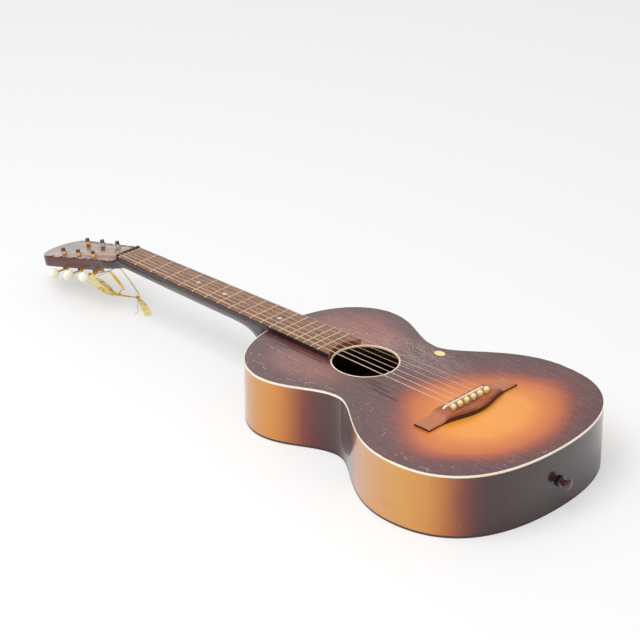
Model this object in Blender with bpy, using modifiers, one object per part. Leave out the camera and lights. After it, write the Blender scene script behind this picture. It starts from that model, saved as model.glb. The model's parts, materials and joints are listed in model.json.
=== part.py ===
"""Small twelve-fret flat-top guitar lying on its back.

Metres, +Z up, +X towards the tail, bass side at -Y. The pieces are modelled from the nut line,
at the height of the soundboard's face, and the origin is under the middle of the whole guitar.
"""

import math

import bmesh
import bpy
from mathutils import Matrix, Vector

MM = 0.001

# Running and glue clearances
gap = 0.3 * MM
running_gap = 0.08 * MM

# Scale and fretboard
scale_length = 628 * MM
joint_fret = 12
last_fret = 18
marker_frets = (5, 7, 12)
nut_width = 43 * MM
joint_width = 55.8 * MM
board_thickness = 6.9 * MM
board_before_nut_line = 2.2 * MM
fret_width = 2.2 * MM
fret_height = 1.1 * MM
fret_tang = 0.8 * MM
fret_setback = 0.3 * MM
marker_radius = 3.1 * MM
marker_thickness = 1.6 * MM

# Body outline, measured from its neck end
body_before_joint_fret = 7 * MM
body_length = 489 * MM
body_depth = 88 * MM
upper_bout = 260.4 * MM
upper_bout_at = 91 * MM
waist = 191.8 * MM
waist_at = 198 * MM
lower_bout = 342 * MM
lower_bout_at = 359 * MM

# Fullness of the outline's curves, as shares of the stretch that each one spans
shoulder_fullness = (0.743, 0.372)
upper_fullness = (0.412, 0.350)
lower_fullness = (0.228, 0.529)
tail_fullness = (0.688, 0.627)
points_per_stretch = 9

# Body shell
top_thickness = 3.0 * MM
back_thickness = 3.0 * MM
rib_thickness = 2.2 * MM
binding_width = 1.3 * MM
binding_height = 2.9 * MM
lining_width = 6 * MM
lining_height = 14 * MM
lining_foot = 2 * MM
neck_block_depth = 40 * MM
neck_block_width = 76 * MM
tail_block_depth = 20 * MM
tail_block_width = 90 * MM
brace_width = 8 * MM
brace_height = 13 * MM
brace_end_height = 4 * MM
brace_end_gap = 1.2 * MM

# Sound hole, measured from the body's neck end
sound_hole_at = 158.3 * MM
ring_radius = 46.4 * MM
ring_width = 2.5 * MM
ring_height = 3.0 * MM
scoop_clearance = 1.0 * MM

# Bridge, saddle and pins, measured from the nut line
bridge_front = 628.5 * MM
bridge_wing_width = 25.5 * MM
bridge_belly = 12 * MM
bridge_length = 171 * MM
bridge_belly_length = 132 * MM
bridge_centre_length = 96 * MM
bridge_wing_run = 13 * MM
bridge_height = 9 * MM
bridge_wing_height = 3.2 * MM
bridge_edge = 1.2 * MM
saddle_from_front = 8 * MM
saddle_width = 2.8 * MM
saddle_length = 80 * MM
saddle_slot_depth = 4 * MM
saddle_proud = 3 * MM
saddle_end_drop = 2.2 * MM
pin_row_from_front = 19 * MM
pin_spread = 64 * MM
pin_radius = 2.3 * MM
pin_head_radius = 4.0 * MM
pin_collar_radius = 3.1 * MM
pin_collar_height = 0.8 * MM
pin_length = 14.5 * MM
plate_thickness = 2.5 * MM
plate_margin = 4 * MM

# Strings, bass to treble
string_diameters = (1.32 * MM, 1.06 * MM, 0.82 * MM, 0.62 * MM, 0.42 * MM, 0.32 * MM)
string_spread_at_nut = 36 * MM
ball_radius = 1.9 * MM
ball_length = 2.8 * MM
string_turns = 2.25
turn_gap = 0.45 * MM
winding_gap = 0.4 * MM
points_per_turn = 12

# Neck
neck_depth_at_nut = 16.5 * MM
neck_depth_at_heel = 17.6 * MM
heel_start = 235 * MM
heel_cap_length = 15 * MM
heel_cap_above_back = 3.0 * MM
tenon_width = 18 * MM
tenon_flare = 3 * MM
tenon_depth = 14 * MM
tenon_height = 66 * MM
nut_thickness = 5 * MM
nut_proud = 2.0 * MM

# Headstock, measured along its face from the nut line
head_tilt = math.radians(14)
head_face_rise = 3 * MM
head_thickness = 15 * MM
head_length = 177 * MM
head_start = 8.1 * MM
head_shoulder_length = 20 * MM
head_shoulder_width = 69 * MM
head_crown_length = 29 * MM
head_crown_width = 77 * MM
head_thin = 5 * MM
head_scoop_length = 34 * MM

# Tuners
post_row_start = 56 * MM
post_pitch = 35 * MM
post_from_centre = 23.5 * MM
post_radius = 3.1 * MM
post_above_face = 10 * MM
post_end = 1.0 * MM
gear_teeth = 14
gear_pitch_radius = 5.2 * MM
gear_thickness = 3.2 * MM
worm_pitch_radius = 1.75 * MM
worm_turns = 2.5
worm_points_per_turn = 8
worm_shaft_sides = 10
worm_inner_shoulder = (0.71 * MM, 1.23 * MM)
worm_outer_shoulder = (0.67 * MM, 1.19 * MM)
tooth_out = 0.55 * MM
tooth_in = 0.8 * MM
worm_shaft_radius = 1.5 * MM
worm_below_plate = 2.8 * MM
ear_offset = 5.2 * MM
ear_thickness = 1.2 * MM
ear_width = 6 * MM
ear_below_shaft = 1.6 * MM
tuner_plate_thickness = 1.2 * MM
tuner_plate_width = 13 * MM
tuner_plate_margin = 13 * MM
button_from_centre = 54 * MM
button_half_length = 9.6 * MM
button_half_width = 7.8 * MM
button_half_thickness = 4.2 * MM
button_grip = 5 * MM
button_turns = {1: 62, 2: 100, 3: 75, 4: 60, 5: 20, 6: 110}

# End pin, through the tail block
end_pin_height = 40 * MM
end_pin_shank_radius = 4.6 * MM
end_pin_collar_radius = 7.6 * MM
end_pin_collar_thickness = 3.5 * MM
end_pin_neck_radius = 4.3 * MM
end_pin_head_radius = 7.6 * MM
end_pin_reach = 17 * MM

# Yellow ribbon tied to the nearest bass tuner
ribbon_radius = 1.2 * MM
ribbon_clear = 0.1 * MM

# Sizes that follow
fret_ratio = 2 ** (-1 / 12)
body_start = scale_length * (1 - fret_ratio**joint_fret) - body_before_joint_fret
body_end = body_start + body_length
hole_x = body_start + sound_hole_at
board_top = gap + board_thickness
head_reach = head_length * math.cos(head_tilt)
nut_line_x = (head_reach - body_end - end_pin_reach) / 2
board_taper = (joint_width - nut_width) / 2 / (scale_length * (1 - fret_ratio**joint_fret))
back_top = back_thickness - body_depth
saddle_x = bridge_front + saddle_from_front
pin_x = bridge_front + pin_row_from_front
saddle_top = bridge_height + saddle_proud
crown = board_top + fret_height
plate_face = -head_thickness - gap
worm_height = plate_face - tuner_plate_thickness - worm_below_plate
centre_distance = gear_pitch_radius + worm_pitch_radius
tooth_pitch = 2 * math.pi * gear_pitch_radius / gear_teeth
worm_lead_slope = tooth_pitch / (2 * math.pi * worm_pitch_radius)


# Scene, collections, frames and materials


def clear_scene():
    for obj in list(bpy.data.objects):
        bpy.data.objects.remove(obj)


def new_collection(name):
    collection = bpy.data.collections.new(name)
    bpy.context.scene.collection.children.link(collection)
    return collection


def new_empty(name, matrix, parent=None):
    empty = bpy.data.objects.new(name, None)
    empty.empty_display_size = 20 * MM
    guitar.objects.link(empty)
    empty.parent = parent
    empty.matrix_local = matrix
    return empty


def new_material(name, colour, roughness, metallic=0.0):
    material = bpy.data.materials.new(name)
    material.use_nodes = True
    shader = material.node_tree.nodes["Principled BSDF"]
    shader.inputs["Base Color"].default_value = (*colour, 1)
    shader.inputs["Roughness"].default_value = roughness
    shader.inputs["Metallic"].default_value = metallic
    material.diffuse_color = (*colour, 1)
    return material


clear_scene()
guitar = new_collection("guitar")
cutters = new_collection("cutters")
nut_line = new_empty("nut_line", Matrix.Translation((nut_line_x, 0, body_depth)))
head_frame = new_empty(
    "head_frame",
    Matrix.Translation((0, 0, head_face_rise)) @ Matrix.Rotation(-head_tilt, 4, "Y"),
    nut_line,
)

sunburst = new_material("sunburst_spruce", (0.32, 0.10, 0.02), 0.3)
sunburst_side = new_material("sunburst_side", (0.28, 0.11, 0.02), 0.25)
dark_lacquer = new_material("dark_lacquer", (0.06, 0.035, 0.035), 0.35)
raw_spruce = new_material("raw_spruce", (0.62, 0.44, 0.24), 0.7)
raw_mahogany = new_material("raw_mahogany", (0.35, 0.17, 0.08), 0.7)
cream_celluloid = new_material("cream_celluloid", (0.80, 0.70, 0.45), 0.35)
rosewood = new_material("rosewood", (0.20, 0.08, 0.045), 0.5)
ebonised = new_material("ebonised_wood", (0.02, 0.02, 0.02), 0.4)
bone = new_material("bone", (0.85, 0.80, 0.68), 0.35)
bronze_wound = new_material("bronze_wound", (0.70, 0.42, 0.20), 0.35, 1.0)
plain_steel = new_material("plain_steel", (0.62, 0.62, 0.60), 0.25, 1.0)
brass = new_material("brass", (0.72, 0.50, 0.20), 0.35, 1.0)
blued_steel = new_material("dark_steel", (0.20, 0.20, 0.22), 0.35, 1.0)
ivoroid = new_material("ivoroid", (0.88, 0.84, 0.66), 0.3)
red_brown_plastic = new_material("red_brown_plastic", (0.22, 0.05, 0.03), 0.2)
yellow_satin = new_material("yellow_satin", (0.85, 0.60, 0.05), 0.45)


# Modelling helpers


def finish_object(name, data, material, parent, matrix=None, round_angle=None):
    obj = bpy.data.objects.new(name, data)
    guitar.objects.link(obj)
    obj.parent = parent
    obj.matrix_local = matrix or Matrix.Identity(4)
    if not data.materials:
        data.materials.append(material)
    if round_angle:
        data.shade_smooth()
        data.set_sharp_from_angle(angle=math.radians(round_angle))
    return obj


def mesh_from(name, bm):
    bmesh.ops.recalc_face_normals(bm, faces=bm.faces)
    mesh = bpy.data.meshes.new(name)
    bm.to_mesh(mesh)
    bm.free()
    return mesh


def loft_mesh(name, rings, closed=False):
    """Skin through rings of equally many points, capped at both ends unless closed."""
    bm = bmesh.new()
    loops = [[bm.verts.new(point) for point in ring] for ring in rings]
    pairs = list(zip(loops, loops[1:]))
    if closed:
        pairs.append((loops[-1], loops[0]))
    for near, far in pairs:
        for i in range(len(near)):
            j = (i + 1) % len(near)
            bm.faces.new((near[i], near[j], far[j], far[i]))
    if not closed:
        bm.faces.new(loops[0])
        bm.faces.new(loops[-1])
    return mesh_from(name, bm)


def plate_mesh(name, outlines, low, high):
    """Flat plate between two heights; outlines after the first are its holes."""
    curve = bpy.data.curves.new(name + "_outline", "CURVE")
    curve.dimensions = "2D"
    curve.fill_mode = "BOTH"
    curve.extrude = (high - low) / 2
    for outline in outlines:
        spline = curve.splines.new("POLY")
        spline.points.add(len(outline) - 1)
        spline.use_cyclic_u = True
        for point, (x, y) in zip(spline.points, outline):
            point.co = (x, y, 0, 1)
    return mesh_of_curve(name, curve, Matrix.Translation((0, 0, (high + low) / 2)))


def mesh_of_curve(name, curve, matrix=None):
    """Closed mesh of a curve's evaluated shape, with its caps welded on."""
    guide = bpy.data.objects.new(name + "_guide", curve)
    cutters.objects.link(guide)
    bpy.context.view_layer.update()
    graph = bpy.context.evaluated_depsgraph_get()
    mesh = bpy.data.meshes.new_from_object(guide.evaluated_get(graph))
    bpy.data.objects.remove(guide)
    mesh.transform(matrix or Matrix.Identity(4))
    bm = bmesh.new()
    bm.from_mesh(mesh)
    bpy.data.meshes.remove(mesh)
    bmesh.ops.remove_doubles(bm, verts=bm.verts, dist=0.000001)
    return mesh_from(name, bm)


def tube_mesh(name, points, radii, resolution=1):
    """Round tube through points, with one radius at each."""
    curve = bpy.data.curves.new(name + "_path", "CURVE")
    curve.dimensions = "3D"
    curve.bevel_depth = 1.0
    curve.bevel_resolution = resolution
    curve.use_fill_caps = True
    curve.twist_mode = "MINIMUM"
    spline = curve.splines.new("POLY")
    spline.points.add(len(points) - 1)
    for point, place, radius in zip(spline.points, points, radii):
        point.co = (*place, 1)
        point.radius = radius
    return mesh_of_curve(name, curve)


def cylinder_mesh(name, radius, length, sides=24):
    """Cylinder centred on the origin, along Z."""
    bm = bmesh.new()
    bmesh.ops.create_cone(
        bm, cap_ends=True, segments=sides, radius1=radius, radius2=radius, depth=length
    )
    return mesh_from(name, bm)


def bore_mesh(name, shaft_radius, length, sides):
    """Cutter whose flat sides clear a turning shaft by the running gap."""
    radius = (shaft_radius + running_gap) / math.cos(math.pi / sides)
    return cylinder_mesh(name, radius, length, sides)


def box_mesh(name, low, high):
    bm = bmesh.new()
    bmesh.ops.create_cube(bm, size=1)
    size = Vector(high) - Vector(low)
    middle = (Vector(high) + Vector(low)) / 2
    bmesh.ops.scale(bm, vec=size, verts=bm.verts)
    bmesh.ops.translate(bm, vec=middle, verts=bm.verts)
    return mesh_from(name, bm)


def turned(name, profile, material, parent, matrix=None, steps=16):
    """Turned piece about its own Z; the profile of (radius, height) runs from its top down."""
    bm = bmesh.new()
    verts = [bm.verts.new((radius, 0, height)) for radius, height in profile]
    for first, second in zip(verts, verts[1:]):
        bm.edges.new((first, second))
    mesh = bpy.data.meshes.new(name)
    bm.to_mesh(mesh)
    bm.free()
    obj = finish_object(name, mesh, material, parent, matrix)
    screw = obj.modifiers.new("turn", "SCREW")
    screw.steps = steps
    screw.render_steps = steps
    screw.use_merge_vertices = True
    screw.merge_threshold = 0.00001
    screw.use_smooth_shade = True
    return obj


def helper(name, mesh, parent, matrix=None):
    obj = bpy.data.objects.new(name, mesh)
    cutters.objects.link(obj)
    obj.parent = parent
    obj.matrix_local = matrix or Matrix.Identity(4)
    obj.hide_render = True
    obj.display_type = "WIRE"
    return obj


def combine(obj, other, operation):
    modifier = obj.modifiers.new(other.name, "BOOLEAN")
    modifier.operation = operation
    modifier.object = other
    return obj


def bevelled(obj, width, segments=1, angle=40):
    modifier = obj.modifiers.new("softened edges", "BEVEL")
    modifier.width = width
    modifier.segments = segments
    modifier.limit_method = "ANGLE"
    modifier.angle_limit = math.radians(angle)
    return obj


def joined(name, meshes):
    """One mesh that holds several separate closed shapes, for use as a cutter or a union."""
    bm = bmesh.new()
    for mesh in meshes:
        bm.from_mesh(mesh)
    result = bpy.data.meshes.new(name)
    bm.to_mesh(result)
    bm.free()
    return result


def moved(mesh, matrix):
    mesh.transform(matrix)
    return mesh


def bezier(p0, p1, p2, p3, t):
    u = 1 - t
    return tuple(
        u**3 * a + 3 * u**2 * t * b + 3 * u * t**2 * c + t**3 * d
        for a, b, c, d in zip(p0, p1, p2, p3)
    )


def stretch(p0, p1, p2, p3, count):
    """Points along one Bezier stretch, without its last."""
    return [bezier(p0, p1, p2, p3, i / count) for i in range(count)]


def circle(x, y, radius, count):
    return [
        (x + radius * math.cos(a), y + radius * math.sin(a))
        for a in (2 * math.pi * i / count for i in range(count))
    ]


# Body outline


def half_outline():
    """Treble half of the body's edge, from the neck end to the tail, both on the centre line."""
    upper_x = body_start + upper_bout_at
    waist_x = body_start + waist_at
    lower_x = body_start + lower_bout_at
    upper_y, waist_y, lower_y = upper_bout / 2, waist / 2, lower_bout / 2
    spans = (upper_bout_at, waist_x - upper_x, lower_x - waist_x, body_end - lower_x)
    points = stretch(
        (body_start, 0),
        (body_start, shoulder_fullness[0] * upper_y),
        (upper_x - shoulder_fullness[1] * spans[0], upper_y),
        (upper_x, upper_y),
        points_per_stretch,
    )
    points += stretch(
        (upper_x, upper_y),
        (upper_x + upper_fullness[0] * spans[1], upper_y),
        (waist_x - upper_fullness[1] * spans[1], waist_y),
        (waist_x, waist_y),
        points_per_stretch,
    )
    points += stretch(
        (waist_x, waist_y),
        (waist_x + lower_fullness[0] * spans[2], waist_y),
        (lower_x - lower_fullness[1] * spans[2], lower_y),
        (lower_x, lower_y),
        points_per_stretch,
    )
    points += stretch(
        (lower_x, lower_y),
        (lower_x + tail_fullness[0] * spans[3], lower_y),
        (body_end, tail_fullness[1] * lower_y),
        (body_end, 0),
        points_per_stretch,
    )
    return points + [(body_end, 0)]


def inset_half(distance):
    """The half outline moved inwards, point by point along its normals."""
    points = [Vector(point) for point in half_outline()]
    moved_in = []
    for i, point in enumerate(points):
        if i in (0, len(points) - 1):
            inward = Vector((1 if i == 0 else -1, 0))
        else:
            along = (points[i + 1] - points[i - 1]).normalized()
            inward = Vector((along.y, -along.x))
        moved_in.append(point + distance * inward)
    return moved_in


def full_outline(distance=0.0):
    half = inset_half(distance)
    return [tuple(p) for p in half] + [(p.x, -p.y) for p in reversed(half[1:-1])]


def half_width(x, distance):
    """Half the width of the inset outline at one place along it."""
    half = inset_half(distance)
    for a, b in zip(half, half[1:]):
        if a.x <= x <= b.x:
            return a.y + (b.y - a.y) * (x - a.x) / (b.x - a.x)
    return 0.0


def crossing(points, y):
    """Index after which points rise past y, and the point at y."""
    for i, (a, b) in enumerate(zip(points, points[1:])):
        if a.y <= y <= b.y:
            return i, a.lerp(b, (y - a.y) / (b.y - a.y))
    return 0, points[0]


def trimmed(pairs, least):
    """Pairs of points from one end of the body inwards, cut off where both clear a block."""
    reach = [min(a.y, b.y) for a, b in pairs]
    first = next(i for i, y in enumerate(reach) if y > least)
    share = (least - reach[first - 1]) / (reach[first] - reach[first - 1])
    cut = tuple(p.lerp(q, share) for p, q in zip(pairs[first - 1], pairs[first]))
    return [cut] + pairs[first:]


def lining_lines(near, far):
    """The two inset half outlines, trimmed at the same places to reach from block to block."""
    pairs = list(zip(inset_half(near), inset_half(far)))
    middle = len(pairs) // 2
    neck_end = trimmed(pairs[: middle + 1], neck_block_width / 2 + gap)
    tail_end = trimmed(pairs[:middle:-1], tail_block_width / 2 + gap)
    return tuple(zip(*neck_end, *reversed(tail_end)))


def block_outline(at_tail, width, depth):
    """Block whose outer face follows the ribs and whose inner face is flat."""
    half = inset_half(rib_thickness + gap)
    if at_tail:
        half = half[::-1]
    last, corner = crossing(half, width / 2)
    edge = half[: last + 1] + [corner]
    inner_x = half[0].x + (-depth if at_tail else depth)
    right = [tuple(p) for p in edge] + [(inner_x, width / 2)]
    left = [(x, -y) for x, y in reversed(right)]
    return right + left[:-1]


# Body pieces


def strip_rings(outer, inner, low, high):
    """Four-sided rings between two lines of points, for a band that follows the body's edge."""
    return [
        ((a[0], a[1], low), (a[0], a[1], high), (b[0], b[1], high), (b[0], b[1], low))
        for a, b in zip(outer, inner)
    ]


def make_soundboard():
    edge = full_outline(binding_width + gap)
    hole = circle(hole_x, 0, ring_radius + gap, 40)
    obj = finish_object(
        "soundboard",
        plate_mesh("soundboard", [edge, hole], -top_thickness, 0),
        sunburst,
        nut_line,
    )
    return combine(obj, pin_hole_cutter, "DIFFERENCE")


def make_back():
    mesh = plate_mesh("back", [full_outline()], -body_depth, back_top)
    obj = finish_object("back", mesh, sunburst_side, nut_line)
    return bevelled(obj, 0.8 * MM)


def make_ribs():
    low, high = back_top + gap, -binding_height - gap
    for name, side in (("rib_treble", 1), ("rib_bass", -1)):
        outer, inner = (
            [(p.x, side * max(p.y, gap / 2)) for p in inset_half(distance)]
            for distance in (0, rib_thickness)
        )
        mesh = loft_mesh(name, strip_rings(outer, inner, low, high))
        obj = finish_object(name, mesh, sunburst_side, nut_line)
        combine(obj, tenon_cutter, "DIFFERENCE")
        combine(obj, end_pin_cutter, "DIFFERENCE")


def make_top_binding():
    outer, inner = full_outline(), full_outline(binding_width)
    mesh = loft_mesh(
        "top_binding", strip_rings(outer, inner, -binding_height, 0), closed=True
    )
    finish_object("top_binding", mesh, cream_celluloid, nut_line)


def make_sound_hole_ring():
    outer = circle(hole_x, 0, ring_radius, 40)
    inner = circle(hole_x, 0, ring_radius - ring_width, 40)
    rings = strip_rings(outer, inner, -ring_height, 0)
    finish_object(
        "sound_hole_ring",
        loft_mesh("sound_hole_ring", rings, closed=True),
        cream_celluloid,
        nut_line,
    )


def make_blocks():
    low, high = back_top + gap, -top_thickness - gap
    neck_block = finish_object(
        "neck_block",
        plate_mesh(
            "neck_block", [block_outline(False, neck_block_width, neck_block_depth)], low, high
        ),
        raw_mahogany,
        nut_line,
    )
    combine(neck_block, tenon_cutter, "DIFFERENCE")
    tail_block = finish_object(
        "tail_block",
        plate_mesh(
            "tail_block", [block_outline(True, tail_block_width, tail_block_depth)], low, high
        ),
        raw_mahogany,
        nut_line,
    )
    combine(tail_block, end_pin_cutter, "DIFFERENCE")


def make_linings():
    """Strips that glue the plates to the ribs, from block to block, tapered away from the plate."""
    near = rib_thickness + gap
    top = -top_thickness - gap
    bottom = back_top + gap
    outer, inner = lining_lines(near, near + lining_width)
    for side_name, side in (("treble", 1), ("bass", -1)):
        for plate, face, reach in (("top", top, -1), ("back", bottom, 1)):
            rings = []
            for a, b in zip(outer, inner):
                foot = a.lerp(b, lining_foot / lining_width)
                edge = face + reach * lining_height
                mid = face + reach * lining_height * 0.45
                rings.append(
                    (
                        (a.x, side * a.y, face),
                        (a.x, side * a.y, edge),
                        (foot.x, side * foot.y, edge),
                        (b.x, side * b.y, mid),
                        (b.x, side * b.y, face),
                    )
                )
            name = f"{plate}_lining_{side_name}"
            finish_object(name, loft_mesh(name, rings), raw_mahogany, nut_line)


def make_brace(name, x, face, reach):
    """Crosswise bar glued to a plate, with its ends planed down towards the linings."""
    inner = rib_thickness + gap + lining_width + brace_end_gap
    reach_y = min(half_width(x + dx, inner) for dx in (-brace_width / 2, brace_width / 2))
    rings = []
    for y, height in (
        (-reach_y, brace_end_height),
        (-reach_y * 0.62, brace_height * 0.85),
        (0, brace_height),
        (reach_y * 0.62, brace_height * 0.85),
        (reach_y, brace_end_height),
    ):
        half = brace_width / 2
        rings.append(
            (
                (x - half, y, face),
                (x - half, y, face + reach * height * 0.6),
                (x - half * 0.3, y, face + reach * height),
                (x + half * 0.3, y, face + reach * height),
                (x + half, y, face + reach * height * 0.6),
                (x + half, y, face),
            )
        )
    finish_object(name, loft_mesh(name, rings), raw_spruce, nut_line)


def make_braces():
    top = -top_thickness - gap
    bottom = back_top + gap
    above_hole = hole_x - ring_radius - 14 * MM
    below_hole = hole_x + ring_radius + 14 * MM
    behind_bridge = bridge_front + bridge_wing_width + bridge_belly + 36 * MM
    make_brace("upper_top_brace", above_hole, top, -1)
    make_brace("waist_top_brace", below_hole, top, -1)
    make_brace("lower_top_brace", behind_bridge, top, -1)
    make_brace("upper_back_brace", body_start + upper_bout_at, bottom, 1)
    make_brace("lower_back_brace", body_start + lower_bout_at, bottom, 1)


# Bridge, saddle, pins


def string_side(i, spread):
    """Sideways place of a string, bass first, for a given spread of the outer two."""
    return spread * (i / (len(string_diameters) - 1) - 0.5)


def slot_reach():
    """How far in front of a pin's axis its string slot runs."""
    return pin_radius + 2 * gap + max(string_diameters) + gap


def make_pin_hole_cutter():
    shapes = []
    slot_half = max(string_diameters) / 2 + gap
    low, high = -20 * MM, 20 * MM
    for i in range(len(string_diameters)):
        y = string_side(i, pin_spread)
        hole = cylinder_mesh(f"pin_hole_{i}", pin_radius + gap, high - low, 16)
        post = helper(f"pin_hole_{i}", hole, nut_line, Matrix.Translation((pin_x, y, 0)))
        slot = box_mesh(
            f"pin_slot_{i}",
            (pin_x - slot_reach(), y - slot_half, low + MM),
            (pin_x, y + slot_half, high - MM),
        )
        combine(post, helper(f"pin_slot_{i}", slot, nut_line), "UNION")
        bpy.context.view_layer.update()
        graph = bpy.context.evaluated_depsgraph_get()
        merged = bpy.data.meshes.new_from_object(post.evaluated_get(graph))
        shapes.append(moved(merged, post.matrix_local))
    return helper("pin_holes", joined("pin_holes", shapes), nut_line)


def bridge_back_edge(y):
    """Back edge of the bridge: straight at its ends and bellied behind the pins."""
    straight = bridge_front + bridge_wing_width
    share = min(abs(y) / (bridge_belly_length / 2), 1)
    return straight + bridge_belly * (1 + math.cos(share * math.pi)) / 2


def bridge_top(y):
    """Height of the bridge: full in the middle, then an ogee down to the thin wings."""
    centre = bridge_centre_length / 2
    share = min(max((abs(y) - centre) / bridge_wing_run, 0), 1)
    drop = (1 - math.cos(share * math.pi)) / 2
    return bridge_height - (bridge_height - bridge_wing_height) * drop


def make_bridge():
    half, centre = bridge_length / 2, bridge_centre_length / 2
    stations = [half, bridge_belly_length / 2]
    stations += [centre + bridge_wing_run * share for share in (1, 0.75, 0.5, 0.25, 0)]
    stations += [centre * share for share in (0.8, 0.6, 0.4, 0.2)]
    sides = [-y for y in stations] + [0] + stations[::-1]
    rings = []
    for y in sides:
        front, back, top = bridge_front, bridge_back_edge(y), bridge_top(y)
        rings.append(
            (
                (front, y, gap),
                (front, y, top - bridge_edge),
                (front + bridge_edge, y, top),
                (back - 2 * bridge_edge, y, top),
                (back, y, top - 2 * bridge_edge * top / bridge_height),
                (back, y, gap),
            )
        )
    obj = finish_object("bridge", loft_mesh("bridge", rings), rosewood, nut_line, round_angle=35)
    slot = box_mesh(
        "saddle_slot",
        (
            saddle_x - saddle_width / 2 - gap,
            -saddle_length / 2 - gap,
            bridge_height - saddle_slot_depth - gap,
        ),
        (saddle_x + saddle_width / 2 + gap, saddle_length / 2 + gap, bridge_height + 5 * MM),
    )
    combine(obj, helper("saddle_slot", slot, nut_line), "DIFFERENCE")
    combine(obj, pin_hole_cutter, "DIFFERENCE")


def make_saddle():
    low = bridge_height - saddle_slot_depth
    half_w = saddle_width / 2
    rings = []
    for share in (-1, -0.96, -0.88, -0.4, 0, 0.4, 0.88, 0.96, 1):
        y = share * saddle_length / 2
        end = max(abs(share) - 0.88, 0) / 0.12
        top = saddle_top - saddle_end_drop * end
        rings.append(
            (
                (saddle_x - half_w, y, low),
                (saddle_x - half_w, y, top - 0.9 * MM),
                (saddle_x - half_w * 0.4, y, top),
                (saddle_x + half_w * 0.4, y, top),
                (saddle_x + half_w, y, top - 0.9 * MM),
                (saddle_x + half_w, y, low),
            )
        )
    finish_object("saddle", loft_mesh("saddle", rings), bone, nut_line)


def make_bridge_pins():
    base = bridge_height + gap
    ball_centre = base + pin_collar_height + pin_head_radius * 0.75
    profile = [(0, ball_centre + pin_head_radius)]
    for degrees in (65, 40, 15, -15, -38):
        a = math.radians(degrees)
        profile.append((pin_head_radius * math.cos(a), ball_centre + pin_head_radius * math.sin(a)))
    profile += [
        (pin_collar_radius, base + pin_collar_height),
        (pin_collar_radius, base),
        (pin_radius, base),
        (pin_radius * 0.9, base - pin_length + 1 * MM),
        (0, base - pin_length),
    ]
    first = None
    for i in range(len(string_diameters)):
        place = Matrix.Translation((pin_x, string_side(i, pin_spread), 0))
        name = f"bridge_pin_{i + 1}"
        if first is None:
            first = turned(name, profile, ivoroid, nut_line, place, steps=14)
        else:
            copy_of(first, name, place)


def copy_of(original, name, matrix):
    """Another object that shares a mesh and repeats its modifiers."""
    obj = finish_object(name, original.data, None, original.parent, matrix)
    for source in original.modifiers:
        target = obj.modifiers.new(source.name, source.type)
        for prop in source.bl_rna.properties:
            if not prop.is_readonly and prop.identifier != "name":
                setattr(target, prop.identifier, getattr(source, prop.identifier))
    return obj


def make_bridge_plate():
    top = -top_thickness - gap
    back = bridge_front + bridge_wing_width + bridge_belly + plate_margin
    edge = [
        (bridge_front - plate_margin, -bridge_length / 2),
        (back, -bridge_length / 2),
        (back, bridge_length / 2),
        (bridge_front - plate_margin, bridge_length / 2),
    ]
    obj = finish_object(
        "bridge_plate",
        plate_mesh("bridge_plate", [edge], top - plate_thickness, top),
        raw_mahogany,
        nut_line,
    )
    combine(obj, pin_hole_cutter, "DIFFERENCE")


# Neck, fretboard, nut


def fret_x(number):
    return scale_length * (1 - fret_ratio**number)


def board_half_width(x):
    return nut_width / 2 + board_taper * x


def face_z(x):
    """Height of the headstock's face plane above the nut line, at a place along the guitar."""
    return head_face_rise + x * math.tan(head_tilt)


def neck_ring(x, top, depth):
    """Section of the neck: flat above, a half ellipse below, flat again at the heel cap."""
    lowest = body_depth - heel_cap_above_back
    half = board_half_width(max(x, 0))
    count = 14
    return [
        (
            x,
            half * math.cos(math.pi * i / count),
            min(top, top - min(depth * math.sin(math.pi * i / count), lowest)),
        )
        for i in range(count + 1)
    ]


def make_neck():
    buried = 0.6 * MM
    cap_x = body_start - heel_cap_length
    rings = []
    for x in (-34 * MM, -22 * MM, -head_start - gap):
        top = face_z(x) - buried
        rings.append(neck_ring(x, top, neck_depth_at_nut + top))
    rings.append(neck_ring(-head_start + gap, 0, neck_depth_at_nut))
    rings.append(neck_ring(heel_start * 0.5, 0, (neck_depth_at_nut + neck_depth_at_heel) / 2))
    heel = (
        (heel_start, neck_depth_at_heel),
        (heel_start + 43 * MM, neck_depth_at_heel),
        (cap_x - 2 * MM, 2 * neck_depth_at_heel),
        (cap_x, body_depth + 4 * MM),
    )
    rings += [neck_ring(x, 0, depth) for x, depth in stretch(*heel, 12)]
    rings.append(neck_ring(cap_x, 0, body_depth + 4 * MM))
    rings.append(neck_ring(body_start + 5 * MM, 0, body_depth + 6 * MM))
    obj = finish_object(
        "neck", loft_mesh("neck", rings), dark_lacquer, nut_line, round_angle=40
    )
    combine(obj, body_cutter, "DIFFERENCE")
    combine(obj, make_head_slab(), "UNION")
    combine(obj, tenon_shape, "UNION")
    combine(obj, post_hole_cutter, "DIFFERENCE")


def head_half_outline():
    """Bass-side half of the headstock's edge as (distance from the nut line, half width)."""
    start_half = board_half_width(0)
    shoulder, crown_half = head_shoulder_width / 2, head_crown_width / 2
    side_start = head_start + head_shoulder_length
    side_end = head_length - head_crown_length
    points = stretch(
        (head_start, start_half),
        (head_start, start_half + 0.75 * (shoulder - start_half)),
        (head_start + 0.3 * head_shoulder_length, shoulder - 0.5 * MM),
        (side_start, shoulder),
        6,
    )
    points += stretch(
        (side_start, shoulder),
        (side_start + (side_end - side_start) / 3, shoulder + (crown_half - shoulder) / 4),
        (side_end - (side_end - side_start) / 3, crown_half - (crown_half - shoulder) / 3),
        (side_end, crown_half),
        3,
    )
    points += stretch(
        (side_end, crown_half),
        (side_end + 0.62 * head_crown_length, crown_half + 0.5 * MM),
        (head_length, 0.52 * crown_half),
        (head_length, 0),
        8,
    )
    return points + [(head_length, 0)]


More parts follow.
